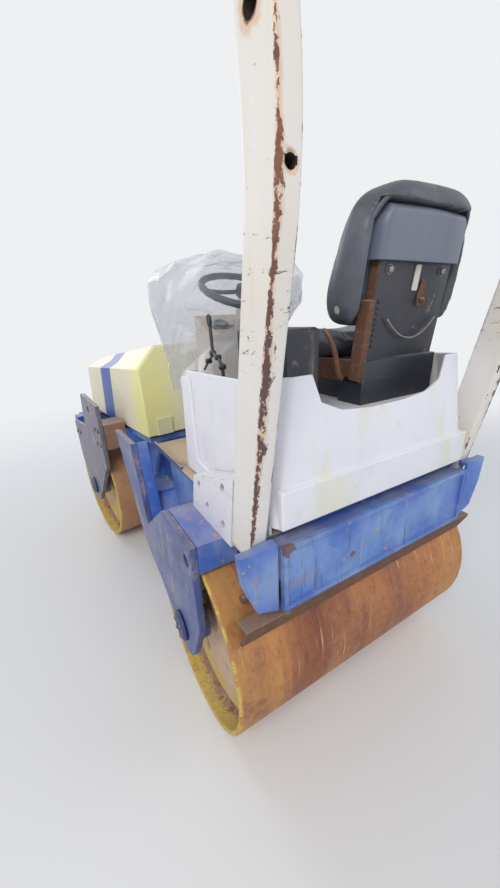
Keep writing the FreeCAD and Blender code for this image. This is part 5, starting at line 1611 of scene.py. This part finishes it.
class ROLLER_OT_dust_sheet(RollerOperator):
    """Clear plastic dust sheet over the wheel and the pedestal."""

    bl_idname = "roller.dust_sheet"
    bl_label = "Dust sheet"

    def execute(self, context):
        """Level rings from the hem up, each a superellipse inside the CAD's rows; folds are
        cosines round the ring that deepen towards the hem, and the top sags between the
        wheel's rim and its hub."""
        rise = np.array([0.22, 0.42, 0.535, 0.62, 0.66, 0.692])
        depth = np.array([0.206, 0.262, 0.400, 0.412, 0.385, 0.300])
        right = np.array([-0.095, -0.105, -0.124, -0.124, -0.100, -0.040])
        left = np.array([0.322, 0.352, 0.388, 0.395, 0.352, 0.250])
        up = np.concatenate([np.linspace(0.225, 0.66, 58), np.linspace(0.662, 0.688, 12)])
        angle = np.linspace(0, 2 * math.pi, 220, endpoint=False)[None]
        span = np.interp(up, rise, depth)[:, None] / 2
        y0, y1 = (np.interp(up, rise, side)[:, None] for side in (right, left))
        middle_x, middle_y = -0.189 - span, (y0 + y1) / 2
        cx, cy = blunt(np.cos(angle), 0.55), blunt(np.sin(angle), 0.55)
        hang = 1 - smooth_share(up, 0.3, 0.69)[:, None]
        folds = waves(angle + 0.9 * hang, 7, (4, 7, 11, 17), 0.5) / 2.0
        wave = self.sizes.fold_depth * (0.3 + 0.9 * hang) * (np.abs(folds) ** 0.8 - 0.15)
        twist = 0.004 * waves(angle + 5 * up[:, None], 3, (5, 9, 14), 0.5)
        x = middle_x + cx * (span + wave + twist - 0.004)
        y = middle_y + cy * ((y1 - y0) / 2 + wave + twist - 0.004)
        z = FLOOR + up[:, None] + 0 * angle + 0.006 * waves(angle, 5, (3, 5, 8), 0.5) * (
            1 - hang)
        rings = np.stack([x, y, z], -1)
        top = rings[-1]
        shrink = np.linspace(1, 0, 14)[1:, None, None]
        centre = top.mean(0)
        cap = centre + (top - centre) * shrink
        sag = -0.012 * np.sin(np.pi * shrink[..., 0]) * (1 + 0.4 * waves(
            angle, 11, (4, 7, 11), 0.5))
        cap[..., 2] += sag
        rings = rear_place(np.concatenate([rings, cap]))
        points = rings.reshape(-1, 3)
        faces = grid_faces(len(rings), rings.shape[1], False, True).tolist()
        sheet = new_object("plastic_sheet", points, faces, merge=1e-6)
        fold = np.clip(np.concatenate([folds * hang + 0 * x, np.zeros(cap.shape[:2])]), 0, 1)
        if len(sheet.data.vertices) == fold.size:
            point_values(sheet, "fold", fold)
        settle(sheet, sheet_finish("clear_film", self.colours.plastic), "rear_frame",
               ("dust_sheet",))
        return {"FINISHED"}


class ROLLER_OT_pivot(RollerOperator):
    """Steering link, cylinder barrel and rod between the two halves."""

    bl_idname = "roller.pivot"
    bl_label = "Steering joint"

    def execute(self, context):
        dull = self.paint("blue_dull")
        dressed("pivot_link", dull, 0.002)
        dressed("steer_barrel", dull, 0.001)
        dressed("steer_rod", self.metal(), 0.001)
        return {"FINISHED"}


class ROLLER_OT_front_frame(RollerOperator):
    """Front chassis, side plates, panel, scraper, spray bar and engine block."""

    bl_idname = "roller.front_frame"
    bl_label = "Front frame"

    def execute(self, context):
        w = self.sizes.plate_edge
        blue = self.paint("blue_plate")
        grey = self.side_plate("arm_grey", self.colours.grey, srgb(118, 112, 126))
        dressed("front_chassis", self.chassis_finish(), w)
        dressed("front_arm_left", grey, w)
        dressed("front_arm_right", grey, w)
        dressed("front_panel", blue, 0.002)
        dressed("front_scraper", self.rusty(), w)
        refinish_node("front_spray_bar", self.rusty())
        dressed("engine_block", self.paint("black_steel"), 0.008)
        heads = [(x, side * 0.53, z) for side in (1, -1) for x in (0.37, 0.43)
                 for z in (0.69, 0.77)]
        heads += [(x, side * 0.53, 0.665) for side in (1, -1) for x in (0.81, 0.86)]
        self.bolts("outrigger_bolts", heads, [(0, np.sign(h[1]), 0) for h in heads],
                   "front_frame", front_place, size=0.02)
        return {"FINISHED"}

    def chassis_finish(self):
        """Blue plates, whose two large outriggers have gone to rust."""
        c = self.colours

        def rusted(f):
            ahead, side = f.straight()
            side = f.maths("ABSOLUTE", side)
            brown = f.blend(f.noise(26, 5, 0.7), srgb(172, 136, 112), srgb(112, 84, 72))
            f.coat(brown, f.share(side, OUTRIGGER_FROM, OUTRIGGER_FROM + 0.006),
                   f.share(ahead, 0.52, 0.51), f.share(f.noise(15, 5, 0.7), 0.3, 0.42))

        return self.worn("front_chassis_paint", c.blue, c.blue_faded, chips=0.85,
                         scratches=0.8, dusting=0.4, extra=rusted)


class ROLLER_OT_hood(RollerOperator):
    """Engine hood: cream, with a blue band and a yellowed rear facet, and its latch."""

    bl_idname = "roller.hood"
    bl_label = "Hood"

    def execute(self, context):
        dressed("hood_shell", self.hood_finish(), self.sizes.hood_edge)
        dressed("hood_handle", moulded_finish("latch", srgb(226, 222, 176), 0.2),
                0.003)
        return {"FINISHED"}

    def hood_finish(self):
        """Cream paint with a scuffed blue band across it, yellower at the rear left."""
        c = self.colours

        def band(f):
            ahead, side = f.straight()
            slant = f.plus(ahead, f.times(f.less(f.part(f.place, 2), 0.95), 0.18))
            f.coat(c.hood_yellow, f.share(ahead, 0.15, 0.26, 1.0, 0.0),
                   f.share(side, 0.10, 0.32), f.share(f.noise(5, 4), 0.3, 0.6, 0.55, 1.0))
            f.coat(srgb(58, 92, 170), f.share(slant, 0.508, 0.512),
                   f.share(slant, 0.678, 0.682, 1.0, 0.0),
                   f.share(f.noise(18, 5, 0.7), 0.62, 0.68, 1.0, 0.25))

        return self.worn("hood_cream", c.cream, srgb(230, 224, 204), chips=0.08, dusting=0.1,
                         scratches=0.15, extra=band)


OPERATORS = (ROLLER_OT_stage, ROLLER_OT_rear_frame, ROLLER_OT_drums, ROLLER_OT_body,
             ROLLER_OT_rollover, ROLLER_OT_chair, ROLLER_OT_controls, ROLLER_OT_dust_sheet,
             ROLLER_OT_pivot, ROLLER_OT_front_frame, ROLLER_OT_hood)


class ROLLER_PT_panel(Panel):
    """Lists the roller's sizes, colours and operators."""

    bl_idname = "ROLLER_PT_panel"
    bl_label = "Tandem roller"
    bl_space_type = "VIEW_3D"
    bl_region_type = "UI"
    bl_category = "Roller"

    def draw(self, context):
        column = self.layout.column()
        for operator in OPERATORS:
            column.operator(operator.bl_idname)
        for group in (context.scene.roller_sizes, context.scene.roller_colours):
            box = self.layout.box()
            for name in group.__annotations__:
                box.prop(group, name)


CLASSES = (RollerSizes, RollerColours, *OPERATORS, ROLLER_PT_panel)


def register():
    """Adds the classes and the scene's settings."""
    for kind in CLASSES:
        bpy.utils.register_class(kind)
    bpy.types.Scene.roller_sizes = PointerProperty(type=RollerSizes)
    bpy.types.Scene.roller_colours = PointerProperty(type=RollerColours)


def unregister():
    """Takes them away again."""
    del bpy.types.Scene.roller_colours
    del bpy.types.Scene.roller_sizes
    for kind in reversed(CLASSES):
        bpy.utils.unregister_class(kind)


def main():
    """Runs every operator once."""
    register()
    for operator in OPERATORS:
        group, name = operator.bl_idname.split(".")
        getattr(getattr(bpy.ops, group), name)()
    bpy.context.view_layer.update()


if __name__ == "__main__":
    main()
